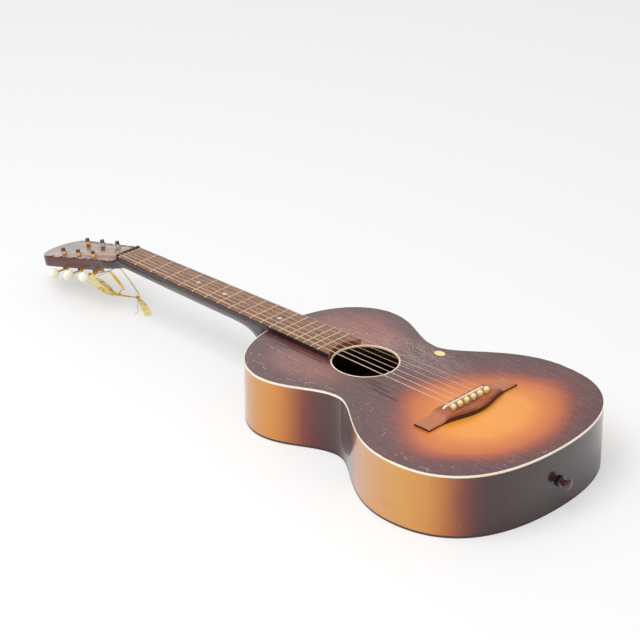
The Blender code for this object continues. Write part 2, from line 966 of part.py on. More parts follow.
def make_head_slab():
    half = head_half_outline()
    edge = [(-s, y) for s, y in half] + [(-s, -y) for s, y in reversed(half[:-1])]
    slab = helper(
        "head_slab", plate_mesh("head_slab", [edge], -head_thickness, 0), head_frame
    )
    combine(slab, make_head_scoop(), "DIFFERENCE")
    return bevelled(slab, 0.9 * MM)


def make_head_scoop():
    """Carved hollow under the head's shoulders, which run out thin into the neck."""
    below = -head_thickness - 10 * MM
    profile = [(0, below), (0, -head_thin)]
    steps = 6
    for i in range(steps + 1):
        share = i / steps
        drop = (1 - math.cos(share * math.pi)) / 2
        depth = head_thin + (head_thickness + gap - head_thin) * drop
        profile.append((-head_start - head_scoop_length * share, -depth))
    profile.append((-head_start - head_scoop_length, below))
    rings = [[(x, y, z) for x, z in profile] for y in (-head_crown_width, head_crown_width)]
    return helper("head_scoop", loft_mesh("head_scoop", rings), head_frame)


def tenon_prism(name, margin, top):
    """Dovetail on the heel; the margin widens it into the pocket that it slides into."""
    front, tip = body_start - 6 * MM, body_start + rib_thickness + gap + tenon_depth + margin
    narrow = tenon_width / 2 + margin
    wide = narrow + tenon_flare
    edge = [(front, -narrow), (tip, -wide), (tip, wide), (front, narrow)]
    bottom = -top_thickness - tenon_height - margin
    return helper(name, plate_mesh(name, [edge], bottom, top), nut_line)


def make_fretboard():
    scoop = ring_radius + scoop_clearance
    start = -board_before_nut_line
    corner_x = hole_x - scoop
    for _ in range(20):
        corner_x = hole_x - math.sqrt(scoop**2 - board_half_width(corner_x) ** 2)
    corner_y = board_half_width(corner_x)
    sweep = math.atan2(corner_y, hole_x - corner_x)
    edge = [(start, -board_half_width(start)), (corner_x, -corner_y)]
    for i in range(1, 14):
        a = -sweep + 2 * sweep * i / 14
        edge.append((hole_x - scoop * math.cos(a), scoop * math.sin(a)))
    edge += [(corner_x, corner_y), (start, board_half_width(start))]
    obj = finish_object(
        "fretboard", plate_mesh("fretboard", [edge], gap, board_top), rosewood, nut_line
    )
    frets = []
    for number in range(last_fret + 1):
        x, half = fret_x(number), board_half_width(fret_x(number)) - fret_setback
        w, h = fret_width / 2, fret_height
        profile = [(-w, -fret_tang), (-w, 0.3 * h), (-0.5 * w, h)]
        profile += [(-dx, dz) for dx, dz in reversed(profile)]
        rings = [[(x + dx, y, board_top + dz) for dx, dz in profile] for y in (-half, half)]
        frets.append(loft_mesh(f"fret_{number}", rings))
    combine(obj, helper("frets", joined("frets", frets), nut_line), "UNION")
    for number in marker_frets:
        x = (fret_x(number - 1) + fret_x(number)) / 2
        pocket = cylinder_mesh(
            f"marker_pocket_{number}", marker_radius + gap, 2 * (marker_thickness + gap), 20
        )
        place = Matrix.Translation((x, 0, board_top))
        combine(obj, helper(f"marker_pocket_{number}", pocket, nut_line, place), "DIFFERENCE")
        disc = cylinder_mesh(f"fret_marker_{number}", marker_radius, marker_thickness, 20)
        lowered = Matrix.Translation((x, 0, board_top - marker_thickness / 2))
        finish_object(f"fret_marker_{number}", disc, ivoroid, nut_line, lowered)


def make_nut():
    back = -board_before_nut_line - gap - nut_thickness
    front = -board_before_nut_line - gap
    half = nut_width / 2
    top = board_top + nut_proud
    obj = finish_object(
        "nut", box_mesh("nut", (back, -half, gap), (front, half, top)), ebonised, nut_line
    )
    bevelled(obj, 0.6 * MM)
    slots = []
    for i, diameter in enumerate(string_diameters):
        entry, exit_point = (string_at_nut(i, x) for x in (front, back))
        side = (entry.y + exit_point.y) / 2
        half_slot = diameter / 2 + gap + abs(entry.y - exit_point.y) / 2
        low = exit_point.z - diameter / 2 - gap
        near, far = (back - MM, side - half_slot, low), (front + MM, side + half_slot, top + MM)
        slots.append(box_mesh(f"nut_slot_{i}", near, far))
    combine(obj, helper("nut_slots", joined("nut_slots", slots), nut_line), "DIFFERENCE")


# Strings


def tuner_place(number):
    """Place of a tuner's post on the head: 1 to 3 on the bass side, 4 to 6 on the treble."""
    bass = number <= 3
    row = number - 1 if bass else 6 - number
    return (
        -(post_row_start + post_pitch * row),
        -post_from_centre if bass else post_from_centre,
    )


def to_nut_frame(point):
    turn = Matrix.Rotation(-head_tilt, 4, "Y")
    return turn @ Vector(point) + Vector((0, 0, head_face_rise))


def to_head_frame(point):
    turn = Matrix.Rotation(head_tilt, 4, "Y")
    return turn @ (Vector(point) - Vector((0, 0, head_face_rise)))


def wrap_radius(i):
    return post_radius + winding_gap + string_diameters[i] / 2


def crown_point(i):
    """Where a string lies on the zero fret."""
    return Vector((0, string_side(i, string_spread_at_nut), crown + gap + string_diameters[i] / 2))


def wrap_start(i):
    """Angle about the post and height at which a string meets its winding."""
    x, y = tuner_place(i + 1)
    start = to_head_frame(crown_point(i))
    away = Vector((start.x - x, start.y - y))
    spread = math.acos(wrap_radius(i) / away.length)
    turn = 1 if i < 3 else -1
    height = 1.6 * MM + string_diameters[i] / 2 + gap
    return math.atan2(away.y, away.x) + turn * spread, height


def wrap_point(i, angle, height):
    x, y = tuner_place(i + 1)
    radius = wrap_radius(i)
    return to_nut_frame((x + radius * math.cos(angle), y + radius * math.sin(angle), height))


def string_at_nut(i, x):
    """Point of a string between the zero fret and its post."""
    a, b = crown_point(i), wrap_point(i, *wrap_start(i))
    return a.lerp(b, (x - a.x) / (b.x - a.x))


def string_route(i):
    """Route and radius of one string, from its ball under the bridge plate to its post."""
    radius = string_diameters[i] / 2
    y_pin = string_side(i, pin_spread)
    riser = pin_x - pin_radius - 2 * gap - radius
    under = -top_thickness - plate_thickness - 3 * gap
    places = [
        (riser, y_pin, under - ball_length),
        (riser, y_pin, under),
        (riser, y_pin, under + 0.1 * MM),
        (riser, y_pin, bridge_height - 0.6 * MM),
        (riser - 0.5 * MM, y_pin, bridge_height + gap + radius),
        (saddle_x + 0.8 * MM, y_pin, saddle_top + gap + radius - 0.15 * MM),
        (saddle_x - 0.3 * MM, y_pin, saddle_top + gap + radius),
    ]
    radii = [ball_radius, ball_radius] + [radius] * (len(places) - 2)
    places.append(crown_point(i))
    angle, height = wrap_start(i)
    steps = round(string_turns * points_per_turn)
    pitch = string_diameters[i] + turn_gap
    turn = 1 if i < 3 else -1
    for step in range(steps + 1):
        share = step / points_per_turn
        places.append(wrap_point(i, angle + turn * 2 * math.pi * share, height + pitch * share))
    radii += [radius] * (len(places) - len(radii))
    return places, radii


def least_gap_to_itself(i):
    """Smallest clear distance between neighbouring turns of one string's winding."""
    places, radii = string_route(i)
    winding = [Vector(p) for p in places[-round(string_turns * points_per_turn) :]]
    least = min(
        (a - b).length
        for n, a in enumerate(winding)
        for b in winding[n + points_per_turn // 2 :]
    )
    return least - 2 * radii[-1]


def make_strings():
    notes = ("low_e", "a", "d", "g", "b", "high_e")
    for i, note in enumerate(notes):
        places, radii = string_route(i)
        name = f"string_{note}"
        finish = bronze_wound if i < 4 else plain_steel
        mesh = tube_mesh(name, places, radii)
        finish_object(name, mesh, finish, nut_line, round_angle=60)
        print(f"{name}: turns clear each other by {least_gap_to_itself(i) / MM:.2f} mm")


# Tuners


def make_post_hole_cutter():
    shapes = []
    for number in range(1, 7):
        x, y = tuner_place(number)
        hole = bore_mesh(f"post_hole_{number}", post_radius, 60 * MM, 16)
        shapes.append(moved(hole, Matrix.Translation((x, y, 0))))
    return helper("post_holes", joined("post_holes", shapes), head_frame)


def gear_rings():
    """Two sections of a gear whose teeth lean with the worm's thread, one gap facing +X."""
    root, tip = gear_pitch_radius - tooth_in, gear_pitch_radius + tooth_out
    step = 2 * math.pi / gear_teeth
    rings = []
    for height in (-gear_thickness / 2, gear_thickness / 2):
        twist = worm_lead_slope * height / gear_pitch_radius
        ring = []
        for tooth in range(gear_teeth):
            middle = step * (tooth + 0.5) + twist
            for radius, offset in ((root, -0.27), (tip, -0.13), (tip, 0.13), (root, 0.27)):
                a = middle + offset * step
                ring.append((radius * math.cos(a), radius * math.sin(a), height))
        rings.append(ring)
    return rings


def make_posts():
    """String posts: gear below the plate, shaft through the head, capstan above its face."""
    low = worm_height - gear_thickness / 2 - post_end
    high = post_above_face
    first = None
    for number in range(1, 7):
        x, y = tuner_place(number)
        place = Matrix.Translation((x, y, worm_height))
        name = f"string_post_{number}"
        if first is None:
            shaft = cylinder_mesh("post_shaft", post_radius, high - low, 16)
            moved(shaft, Matrix.Translation((0, 0, (high + low) / 2 - worm_height)))
            post = helper("post_shaft", shaft, head_frame, place)
            bevelled(post, 0.4 * MM)
            gear = helper("post_gear", loft_mesh("post_gear", gear_rings()), head_frame, place)
            combine(post, gear, "UNION")
            bpy.context.view_layer.update()
            graph = bpy.context.evaluated_depsgraph_get()
            mesh = bpy.data.meshes.new_from_object(post.evaluated_get(graph))
            mesh.name = name
            first = finish_object(name, mesh, blued_steel, head_frame, place, round_angle=35)
        else:
            copy_of(first, name, place)


def worm_mesh(name, side):
    """Worm and shaft along Y, its thread level with the gear; side is where the button sits."""
    root, tip = worm_pitch_radius - tooth_in, worm_pitch_radius + tooth_out
    foot = 0.8 * root
    rings = []
    for step in range(round(worm_turns * worm_points_per_turn) + 1):
        share = step / worm_points_per_turn - worm_turns / 2
        # A right-hand thread: Y grows as the angle from Z towards X grows, level at -X
        angle = 2 * math.pi * share - math.pi / 2
        middle = tooth_pitch * share
        ring = []
        for radius, offset in ((foot, -0.22), (tip, -0.10), (tip, 0.10), (foot, 0.22)):
            ring.append(
                (
                    radius * math.sin(angle),
                    middle + offset * tooth_pitch,
                    radius * math.cos(angle),
                )
            )
        rings.append(ring)
    thread = helper(name + "_thread", loft_mesh(name + "_thread", rings), head_frame)
    inner = ear_offset + ear_thickness + 0.8 * MM
    outer = button_from_centre - post_from_centre - button_half_length + button_grip
    thread_half = worm_turns / 2 * tooth_pitch
    profile = [
        (-inner, worm_shaft_radius),
        (-thread_half - worm_inner_shoulder[1], worm_shaft_radius),
        (-thread_half - worm_inner_shoulder[0], root),
        (thread_half + worm_outer_shoulder[0], root),
        (thread_half + worm_outer_shoulder[1], worm_shaft_radius),
        (outer, worm_shaft_radius),
    ]
    turns = [2 * math.pi * (i + 0.37) / worm_shaft_sides for i in range(worm_shaft_sides)]
    rings = [[(r * math.cos(a), side * y, r * math.sin(a)) for a in turns] for y, r in profile]
    core = helper(name, loft_mesh(name, rings), head_frame)
    combine(core, thread, "UNION")
    bpy.context.view_layer.update()
    graph = bpy.context.evaluated_depsgraph_get()
    mesh = bpy.data.meshes.new_from_object(core.evaluated_get(graph))
    mesh.name = name
    return mesh


def worm_place(number):
    """Worm axis: beside its gear, on the nut's side."""
    x, y = tuner_place(number)
    return x + centre_distance, y, worm_height


def make_worms_and_buttons():
    meshes = {-1: worm_mesh("worm_bass", -1), 1: worm_mesh("worm_treble", 1)}
    sphere = bmesh.new()
    bmesh.ops.create_uvsphere(sphere, u_segments=14, v_segments=6, radius=1)
    bmesh.ops.scale(
        sphere,
        vec=(button_half_width, button_half_length, button_half_thickness),
        verts=sphere.verts,
    )
    button = mesh_from("button", sphere)
    bore = cylinder_mesh("button_bore", worm_shaft_radius + gap, 2 * (button_grip + gap), 12)
    bore.transform(Matrix.Rotation(math.pi / 2, 4, "X") @ Matrix.Rotation(0.1, 4, "Z"))
    for number in range(1, 7):
        side = -1 if number <= 3 else 1
        x, y, height = worm_place(number)
        place = Matrix.Translation((x, y, height))
        name = f"worm_shaft_{number}"
        finish_object(name, meshes[side], brass, head_frame, place, round_angle=35)
        turn = Matrix.Rotation(math.radians(button_turns[number]), 4, "Y")
        centre = Matrix.Translation((x, side * button_from_centre, height))
        name = f"tuner_button_{number}"
        obj = finish_object(name, button.copy(), ivoroid, head_frame, centre @ turn, round_angle=60)
        at_rim = Matrix.Translation((0, -side * button_half_length, 0))
        place = centre @ turn @ at_rim
        combine(obj, helper(f"button_bore_{number}", bore, head_frame, place), "DIFFERENCE")


def make_tuner_plates():
    """Strip plates under the head, with two bent ears to carry each worm shaft."""
    low = plate_face - tuner_plate_thickness
    ear_low = worm_height - worm_shaft_radius - ear_below_shaft
    plates = (("tuner_plate_bass", (1, 2, 3), -1), ("tuner_plate_treble", (4, 5, 6), 1))
    for name, numbers, side in plates:
        xs = [tuner_place(number)[0] for number in numbers]
        middle_y = side * post_from_centre
        start, stop = min(xs) - tuner_plate_margin, max(xs) + tuner_plate_margin
        strip = box_mesh(
            name,
            (start, middle_y - tuner_plate_width / 2, low),
            (stop, middle_y + tuner_plate_width / 2, plate_face),
        )
        obj = finish_object(name, strip, brass, head_frame)
        ears, holes = [], []
        for number in numbers:
            x, y, height = worm_place(number)
            for sign in (-1, 1):
                ear_y = y + sign * (ear_offset + ear_thickness / 2)
                ears.append(
                    box_mesh(
                        f"ear_{number}_{sign}",
                        (x - ear_width / 2, ear_y - ear_thickness / 2, ear_low),
                        (x + ear_width / 2, ear_y + ear_thickness / 2, plate_face - 0.3 * MM),
                    )
                )
            bore = bore_mesh(f"ear_bore_{number}", worm_shaft_radius, 30 * MM, 12)
            turn = Matrix.Rotation(math.pi / 2, 4, "X")
            holes.append(moved(bore, Matrix.Translation((x, y, height)) @ turn))
        combine(obj, helper(name + "_ears", joined(name + "_ears", ears), head_frame), "UNION")
        combine(obj, helper(name + "_bores", joined(name + "_bores", holes), head_frame), "DIFFERENCE")
        combine(obj, post_hole_cutter, "DIFFERENCE")


# End pin


def end_pin_place():
    """The pin's own Z points out of the tail, its origin where the ribs end."""
    return Matrix.Translation((body_end, 0, end_pin_height - body_depth)) @ Matrix.Rotation(
        math.pi / 2, 4, "Y"
    )


def make_end_pin_cutter():
    hole = cylinder_mesh("end_pin_hole", end_pin_shank_radius + gap, 80 * MM, 20)
    return helper("end_pin_hole", hole, nut_line, end_pin_place())


def make_end_pin():
    collar, neck, head = end_pin_collar_radius, end_pin_neck_radius, end_pin_head_radius
    top = end_pin_reach
    after_collar = gap + end_pin_collar_thickness
    shank = rib_thickness + tail_block_depth
    profile = [
        (0, top),
        (0.55 * head, top - 0.4 * MM),
        (0.88 * head, top - 1.6 * MM),
        (head, top - 3.4 * MM),
        (0.93 * head, top - 4.6 * MM),
        (neck, top - 6.2 * MM),
        (neck, after_collar + 1.6 * MM),
        (0.9 * collar, after_collar),
        (collar, after_collar - 0.6 * MM),
        (collar, gap),
        (end_pin_shank_radius, gap),
        (0.9 * end_pin_shank_radius, -shank),
        (0, -shank - 1 * MM),
    ]
    turned("end_pin", profile, red_brown_plastic, nut_line, end_pin_place(), steps=20)


# Ribbon


def ribbon_route():
    """Points of the ribbon in millimetres from the nut line: tail, knot, shaft, loop and loose end."""
    table = (1.1 * ribbon_radius - body_depth) / MM
    x, y, height = worm_place(1)
    shaft = to_nut_frame((x, y, height)) / MM
    reach = (worm_shaft_radius + ribbon_radius) / MM + ribbon_clear / MM
    tail = [
        (28, 5, table),
        (14.5, 13, table),
        (1, 20, table),
        (-17, 29.5, table),
        (-25, 34, table),
        (-39, 25.5, table),
        (-52.5, 18, table),
    ]
    up = [
        (-51, 8, -83),
        (-48, -5, -74),
        (-46, -18, -61),
        (-42.5, -31, -47),
        (-40.5, -37.5, -35),
    ]
    over = [
        (shaft.x + reach * math.cos(a), -39.5 - 0.3 * i, shaft.z + reach * math.sin(a))
        for i, a in enumerate(math.radians(30 * n) for n in range(0, 7))
    ]
    down = [
        (-48, -36, -36),
        (-50.5, -22, -45.5),
        (-52.5, -9, -57),
        (-55, 3, -71),
        (-59, 13.5, -82),
    ]
    loop = [
        (-55, 18, -80.5),
        (-46, 18, -76),
        (-37.5, 15.5, -70),
        (-36.5, 10, -60),
        (-40.5, 1.5, -47),
        (-45, -5.5, -38.5),
        (-47, -18, -35),
        (-46.5, -29, -32.6),
        (-43, -34.5, -31),
        (-38.5, -29, -32.6),
        (-38, -12, -35),
        (-40, 4, -36.5),
        (-42, 15, -41),
        (-35.5, 27.5, -60),
        (-22.5, 32, -79),
    ]
    loose_end = [
        (-19, 28, -82.5),
        (-13, 20.5, table + 0.4),
        (-4, 13, table),
        (5.5, 5, table),
        (9.3, -6, table),
    ]
    return tail + up + over + down + loop + loose_end


def make_ribbon():
    points = smooth_line([Vector(p) * MM for p in ribbon_route()], 3)
    mesh = tube_mesh("ribbon", points, [ribbon_radius] * len(points))
    finish_object("ribbon", mesh, yellow_satin, nut_line, round_angle=60)


def smooth_line(points, steps):
    """Catmull-Rom curve through the points, with a set number of steps between each two."""
    padded = [2 * points[0] - points[1]] + points + [2 * points[-1] - points[-2]]
    result = []
    for a, b, c, d in zip(padded, padded[1:], padded[2:], padded[3:]):
        for step in range(steps):
            t = step / steps
            result.append(
                0.5
                * (
                    2 * b
                    + (c - a) * t
                    + (2 * a - 5 * b + 4 * c - d) * t**2
                    + (3 * b - a - 3 * c + d) * t**3
                )
            )
    return result + [points[-1]]


# Shared cutters come first, then the pieces
pin_hole_cutter = make_pin_hole_cutter()
post_hole_cutter = make_post_hole_cutter()
end_pin_cutter = make_end_pin_cutter()
tenon_shape = tenon_prism("tenon", 0.0, -binding_height - 2 * gap)
tenon_cutter = tenon_prism("tenon_pocket", gap, 20 * MM)
body_cutter = helper(
    "body_block",
    plate_mesh("body_block", [full_outline(-gap)], -2 * body_depth, 30 * MM),
    nut_line,
)

make_soundboard()
make_back()
make_ribs()
make_top_binding()
make_sound_hole_ring()
make_blocks()
make_linings()
make_braces()
make_bridge_plate()
make_bridge()
make_saddle()
make_bridge_pins()
make_neck()
make_fretboard()
make_nut()
make_strings()
make_tuner_plates()
make_posts()
make_worms_and_buttons()
make_end_pin()
make_ribbon()
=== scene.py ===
"""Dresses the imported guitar: finer pieces, lacquer and wood, the camera, the table and the light."""

import json
import math

import bmesh
import bpy
from mathutils import Matrix, Vector
from mathutils.kdtree import KDTree

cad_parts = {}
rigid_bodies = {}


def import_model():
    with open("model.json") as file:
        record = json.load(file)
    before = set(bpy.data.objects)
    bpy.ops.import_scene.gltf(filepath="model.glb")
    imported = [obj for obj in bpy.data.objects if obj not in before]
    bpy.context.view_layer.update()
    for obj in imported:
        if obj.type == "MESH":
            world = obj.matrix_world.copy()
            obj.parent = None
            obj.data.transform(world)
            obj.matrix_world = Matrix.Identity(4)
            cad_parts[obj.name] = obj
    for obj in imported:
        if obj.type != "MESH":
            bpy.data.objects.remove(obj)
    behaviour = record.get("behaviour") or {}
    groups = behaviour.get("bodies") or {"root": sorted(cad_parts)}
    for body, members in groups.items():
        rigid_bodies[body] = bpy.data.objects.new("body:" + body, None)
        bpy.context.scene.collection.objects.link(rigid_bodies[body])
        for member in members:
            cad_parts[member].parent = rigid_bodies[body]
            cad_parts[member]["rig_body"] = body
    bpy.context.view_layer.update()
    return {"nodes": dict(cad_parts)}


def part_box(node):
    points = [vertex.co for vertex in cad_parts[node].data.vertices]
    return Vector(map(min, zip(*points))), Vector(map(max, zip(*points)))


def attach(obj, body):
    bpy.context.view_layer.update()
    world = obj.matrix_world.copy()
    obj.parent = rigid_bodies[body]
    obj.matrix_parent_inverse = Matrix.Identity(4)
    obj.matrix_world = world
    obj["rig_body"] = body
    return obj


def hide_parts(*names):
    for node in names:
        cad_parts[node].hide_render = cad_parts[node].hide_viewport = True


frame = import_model()

MM = 0.001
BODY = "guitar"


def middle_of(node):
    return (Vector(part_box(node)[0]) + Vector(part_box(node)[1])) / 2


# Places read from the frame
binding_low, binding_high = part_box("top_binding")
body_start, body_end = binding_low.x, binding_high.x
face = binding_high.z
nut_to_zero_fret = 2.5 * MM
nut_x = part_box("nut")[1].x + nut_to_zero_fret
hole, pin_row = middle_of("sound_hole_ring"), middle_of("bridge_pin_3")

# Body outline, from its neck end, as in the solids
upper_bout_at, waist_at, lower_bout_at = 91 * MM, 198 * MM, 359 * MM
upper_half, waist_half, lower_half = 130.2 * MM, 95.9 * MM, binding_high.y
shoulder_fullness, upper_fullness = (0.743, 0.372), (0.412, 0.350)
lower_fullness, tail_fullness = (0.228, 0.529), (0.688, 0.627)
binding_width, binding_height = 1.3 * MM, 2.9 * MM
top_thickness, back_thickness, rib_thickness = 3.0 * MM, 3.0 * MM, 2.2 * MM
side_run = 489
ring_radius, ring_width, ring_height = 46.4 * MM, 2.5 * MM, 3.0 * MM
scoop_clearance = 1 * MM
cut_reach = 20 * MM

# Neck and fretboard
scale_length = 628 * MM
last_fret = 18
nut_half, joint_half = 21.5 * MM, 27.9 * MM
board_low, board_top = face + 0.3 * MM, face + 7.2 * MM
fret_half_width = 0.95 * MM
neck_deepening, neck_upper_part = 1.8 * MM, 4 * MM
head_tilt = math.radians(14)
head_frame = Matrix.Translation((nut_x, 0, face + 3 * MM)) @ Matrix.Rotation(-head_tilt, 4, "Y")

# Headstock, measured along its face from the nut line
head_start, head_side_start, head_side_end = 8.1 * MM, 28.1 * MM, 148 * MM
head_shoulder_half, head_crown_half = 34.5 * MM, 38.5 * MM
post_radius, winding_height = 3.1 * MM, 5.2 * MM

# Camera, matched to the photograph
camera_place = (2.0014, -1.9926, 1.5188)
camera_azimuth, camera_elevation, camera_roll = (math.radians(a) for a in (44.238, 26.715, -0.173))
camera_lens = 131.0
room_light = 0.58


# Shader nodes written as expressions


class Wire:
    """A shader node's output that takes part in sums as a number does."""

    def __init__(self, finish, socket):
        self.finish = finish
        self.socket = socket

    def __add__(self, other):
        return self.finish.maths("ADD", self, other)

    def __radd__(self, other):
        return self.finish.maths("ADD", other, self)

    def __sub__(self, other):
        return self.finish.maths("SUBTRACT", self, other)

    def __rsub__(self, other):
        return self.finish.maths("SUBTRACT", other, self)

    def __mul__(self, other):
        return self.finish.maths("MULTIPLY", self, other)

    def __rmul__(self, other):
        return self.finish.maths("MULTIPLY", other, self)

    def __truediv__(self, other):
        return self.finish.maths("DIVIDE", self, other)

    def __pow__(self, other):
        return self.finish.maths("POWER", self, other)

    def __gt__(self, other):
        return self.finish.maths("GREATER_THAN", self, other)

    def __abs__(self):
        return self.finish.maths("ABSOLUTE", self, 0.0)


class Finish:
    """A material, built from one general node method."""

    def __init__(self, name, colour, roughness, metallic=0.0, coat=0.0, coat_roughness=0.1):
        self.material = bpy.data.materials.new(name)
        self.material.use_nodes = True
        self.tree = self.material.node_tree
        self.shader = self.tree.nodes["Principled BSDF"]
        self.set("Base Color", shade(*colour))
        self.set("Roughness", roughness)
        self.set("Metallic", metallic)
        self.set("Coat Weight", coat)
        self.set("Coat Roughness", coat_roughness)

    def set(self, socket, value):
        if isinstance(value, Wire):
            self.tree.links.new(value.socket, self.shader.inputs[socket])
        else:
            self.shader.inputs[socket].default_value = value

    def node(self, kind, settings=None, sockets=None, output=0):
        made = self.tree.nodes.new(kind)
        for name, value in (settings or {}).items():
            if name == "stops":
                set_stops(made.color_ramp, value)
            else:
                setattr(made, name, value)
        for key, value in (sockets or {}).items():
            if isinstance(value, Wire):
                self.tree.links.new(value.socket, made.inputs[key])
            else:
                made.inputs[key].default_value = value
        return Wire(self, made.outputs[output])

    def maths(self, operation, first, second):
        return self.node("ShaderNodeMath", {"operation": operation}, {0: first, 1: second})

    def mixed(self, first, second, share):
        """Two colours, each a wire or a row of red, green and blue."""
        first, second = (c if isinstance(c, Wire) else shade(*c) for c in (first, second))
        settings = {"data_type": "RGBA", "blend_type": "MIX"}
        return self.node("ShaderNodeMix", settings, {0: share, 6: first, 7: second}, 2)

    def rise(self, value, low, high):
        """0 below low, 1 above high and smooth between."""
        sockets = {"Value": value, "From Min": low, "From Max": high}
        return self.node("ShaderNodeMapRange", {"interpolation_type": "SMOOTHSTEP"}, sockets)

    def blend(self, first, second, value, low, high, share=None):
        """The first colour, going over to the second as a value rises, or to a share of it."""
        risen = self.rise(value, low, high)
        return self.mixed(first, second, risen if share is None else risen * share)

    def ramp(self, value, *stops):
        """Colours by rows of position, red, green and blue."""
        coloured = [(stop[0], shade(*stop[1:])) for stop in stops]
        return self.node("ShaderNodeValToRGB", {"stops": coloured}, {"Fac": value})

    def place(self):
        return self.node("ShaderNodeTexCoord", output="Object")

    def axis(self, letter):
        return self.node("ShaderNodeSeparateXYZ", sockets={0: self.place()}, output=letter)

    def attribute(self, name):
        return self.node("ShaderNodeAttribute", {"attribute_name": name}, output="Fac")

    def measured(self, direction, start, vector=None):
        """Distance of a place from a start, along a direction."""
        sockets = {0: vector or self.place(), 1: direction}
        along = self.node("ShaderNodeVectorMath", {"operation": "DOT_PRODUCT"}, sockets, "Value")
        return along - Vector(direction).dot(Vector(start))

    def shaken(self, amount, scale):
        """The place, moved a little to and fro so that what is drawn on it isn't ruler straight."""
        noise = {"Vector": self.place(), "Scale": scale, "Detail": 2.0}
        shake = self.node("ShaderNodeTexNoise", sockets=noise, output="Color")
        centred = {0: shake, 1: (0.5, 0.5, 0.5)}
        shake = self.node("ShaderNodeVectorMath", {"operation": "SUBTRACT"}, centred)
        sized = {0: shake, 1: (amount, amount, amount), 2: self.place()}
        return self.node("ShaderNodeVectorMath", {"operation": "MULTIPLY_ADD"}, sized)

    def stroke(self, vector, start, end, half_width):
        """1 on a straight stroke on the top and 0 off it."""
        start, end = Vector((*start, 0)), Vector((*end, 0))
        middle, long = (start + end) / 2, (end - start).length
        along = (end - start) / long
        across = Vector((-along.y, along.x, 0))
        near = self.rise(abs(self.measured(across, middle, vector)), half_width, 0.2 * half_width)
        return near * self.rise(abs(self.measured(along, middle, vector)), long / 2, 0.3 * long)

    def stretched(self, scale, turn=0.0, shift=(0, 0, 0)):
        sockets = {"Vector": self.place(), "Scale": scale, "Rotation": (0, 0, turn), "Location": shift}
        return self.node("ShaderNodeMapping", sockets=sockets)

    def noise(self, vector, scale, detail=3.0, roughness=0.5):
        """Noise at a vector, or at the place stretched by three factors."""
        vector = vector if isinstance(vector, Wire) else self.stretched(vector)
        sockets = {"Vector": vector, "Scale": scale, "Detail": detail, "Roughness": roughness}
        return self.node("ShaderNodeTexNoise", sockets=sockets)

    def done(self, colour, roughness, height, distance, strength):
        """Sets colour, roughness and bump, and gives back the finish."""
        sockets = {"Height": height, "Distance": distance, "Strength": strength}
        self.set("Base Color", colour)
        self.set("Roughness", roughness)
        self.set("Normal", self.node("ShaderNodeBump", sockets=sockets))
        return self


def set_stops(ramp, stops):
    """Gives a colour ramp its positions and colours."""
    while len(ramp.elements) < len(stops):
        ramp.elements.new(1.0)
    for element, (position, colour) in zip(ramp.elements, stops):
        element.position = position
        element.color = colour


def shade(red, green, blue):
    """A colour given in 0 to 255 as a picture shows it."""
    linear = [
        c / 12.92 if c <= 0.04045 else ((c + 0.055) / 1.055) ** 2.4
        for c in (red / 255, green / 255, blue / 255)
    ]
    return (*linear, 1.0)


# Marks on the top, in millimetres from the nut line and the middle

light_scratches = (
    ((338, -59), (407, -61)),
    ((334, -88), (347, -91)),
    ((351, -91), (351, -80)),
    ((356, -102), (379, -100)),
    ((377, -105), (397, -110)),
    ((424, -107), (443, -104)),
    ((452, -95), (465, -90)),
    ((475, -88), (493, -85)),
    ((485, -91), (475, -85)),
    ((618, -136), (614, -120)),
    ((671, -150), (684, -152)),
    ((699, -156), (722, -154)),
    ((766, -82), (778, -58)),
    ((785, -34), (790, -19)),
    ((363, 42), (411, 55)),
)
# Dark lines on the bass side of the top: painted shadow of the strings and of the fretboard.
painted_string_shadows = (
    ((357, -42), (438, -43)),
    ((505, -41), (552, -43)),
    ((520, -49), (580, -54)),
    ((498, -34), (530, -35)),
)
chips = ((341, 58, 1.3), (400, 45, 1.4), (412, 59, 1.6))
pale_patch, binding_chip = (522, 84), (379, -121)


def on_top(point):
    """Metres in the row frame for a mark's place."""
    return (nut_x + point[0] * MM, point[1] * MM)


# Finishes


def oval(x, y, centre, long, wide, power=2.0):
    """0 in the middle of an oval on the top, 1 on its rim."""
    along, across = abs((x - centre[0]) / long), abs((y - centre[1]) / wide)
    return (along**power + across**power) ** (1 / power)


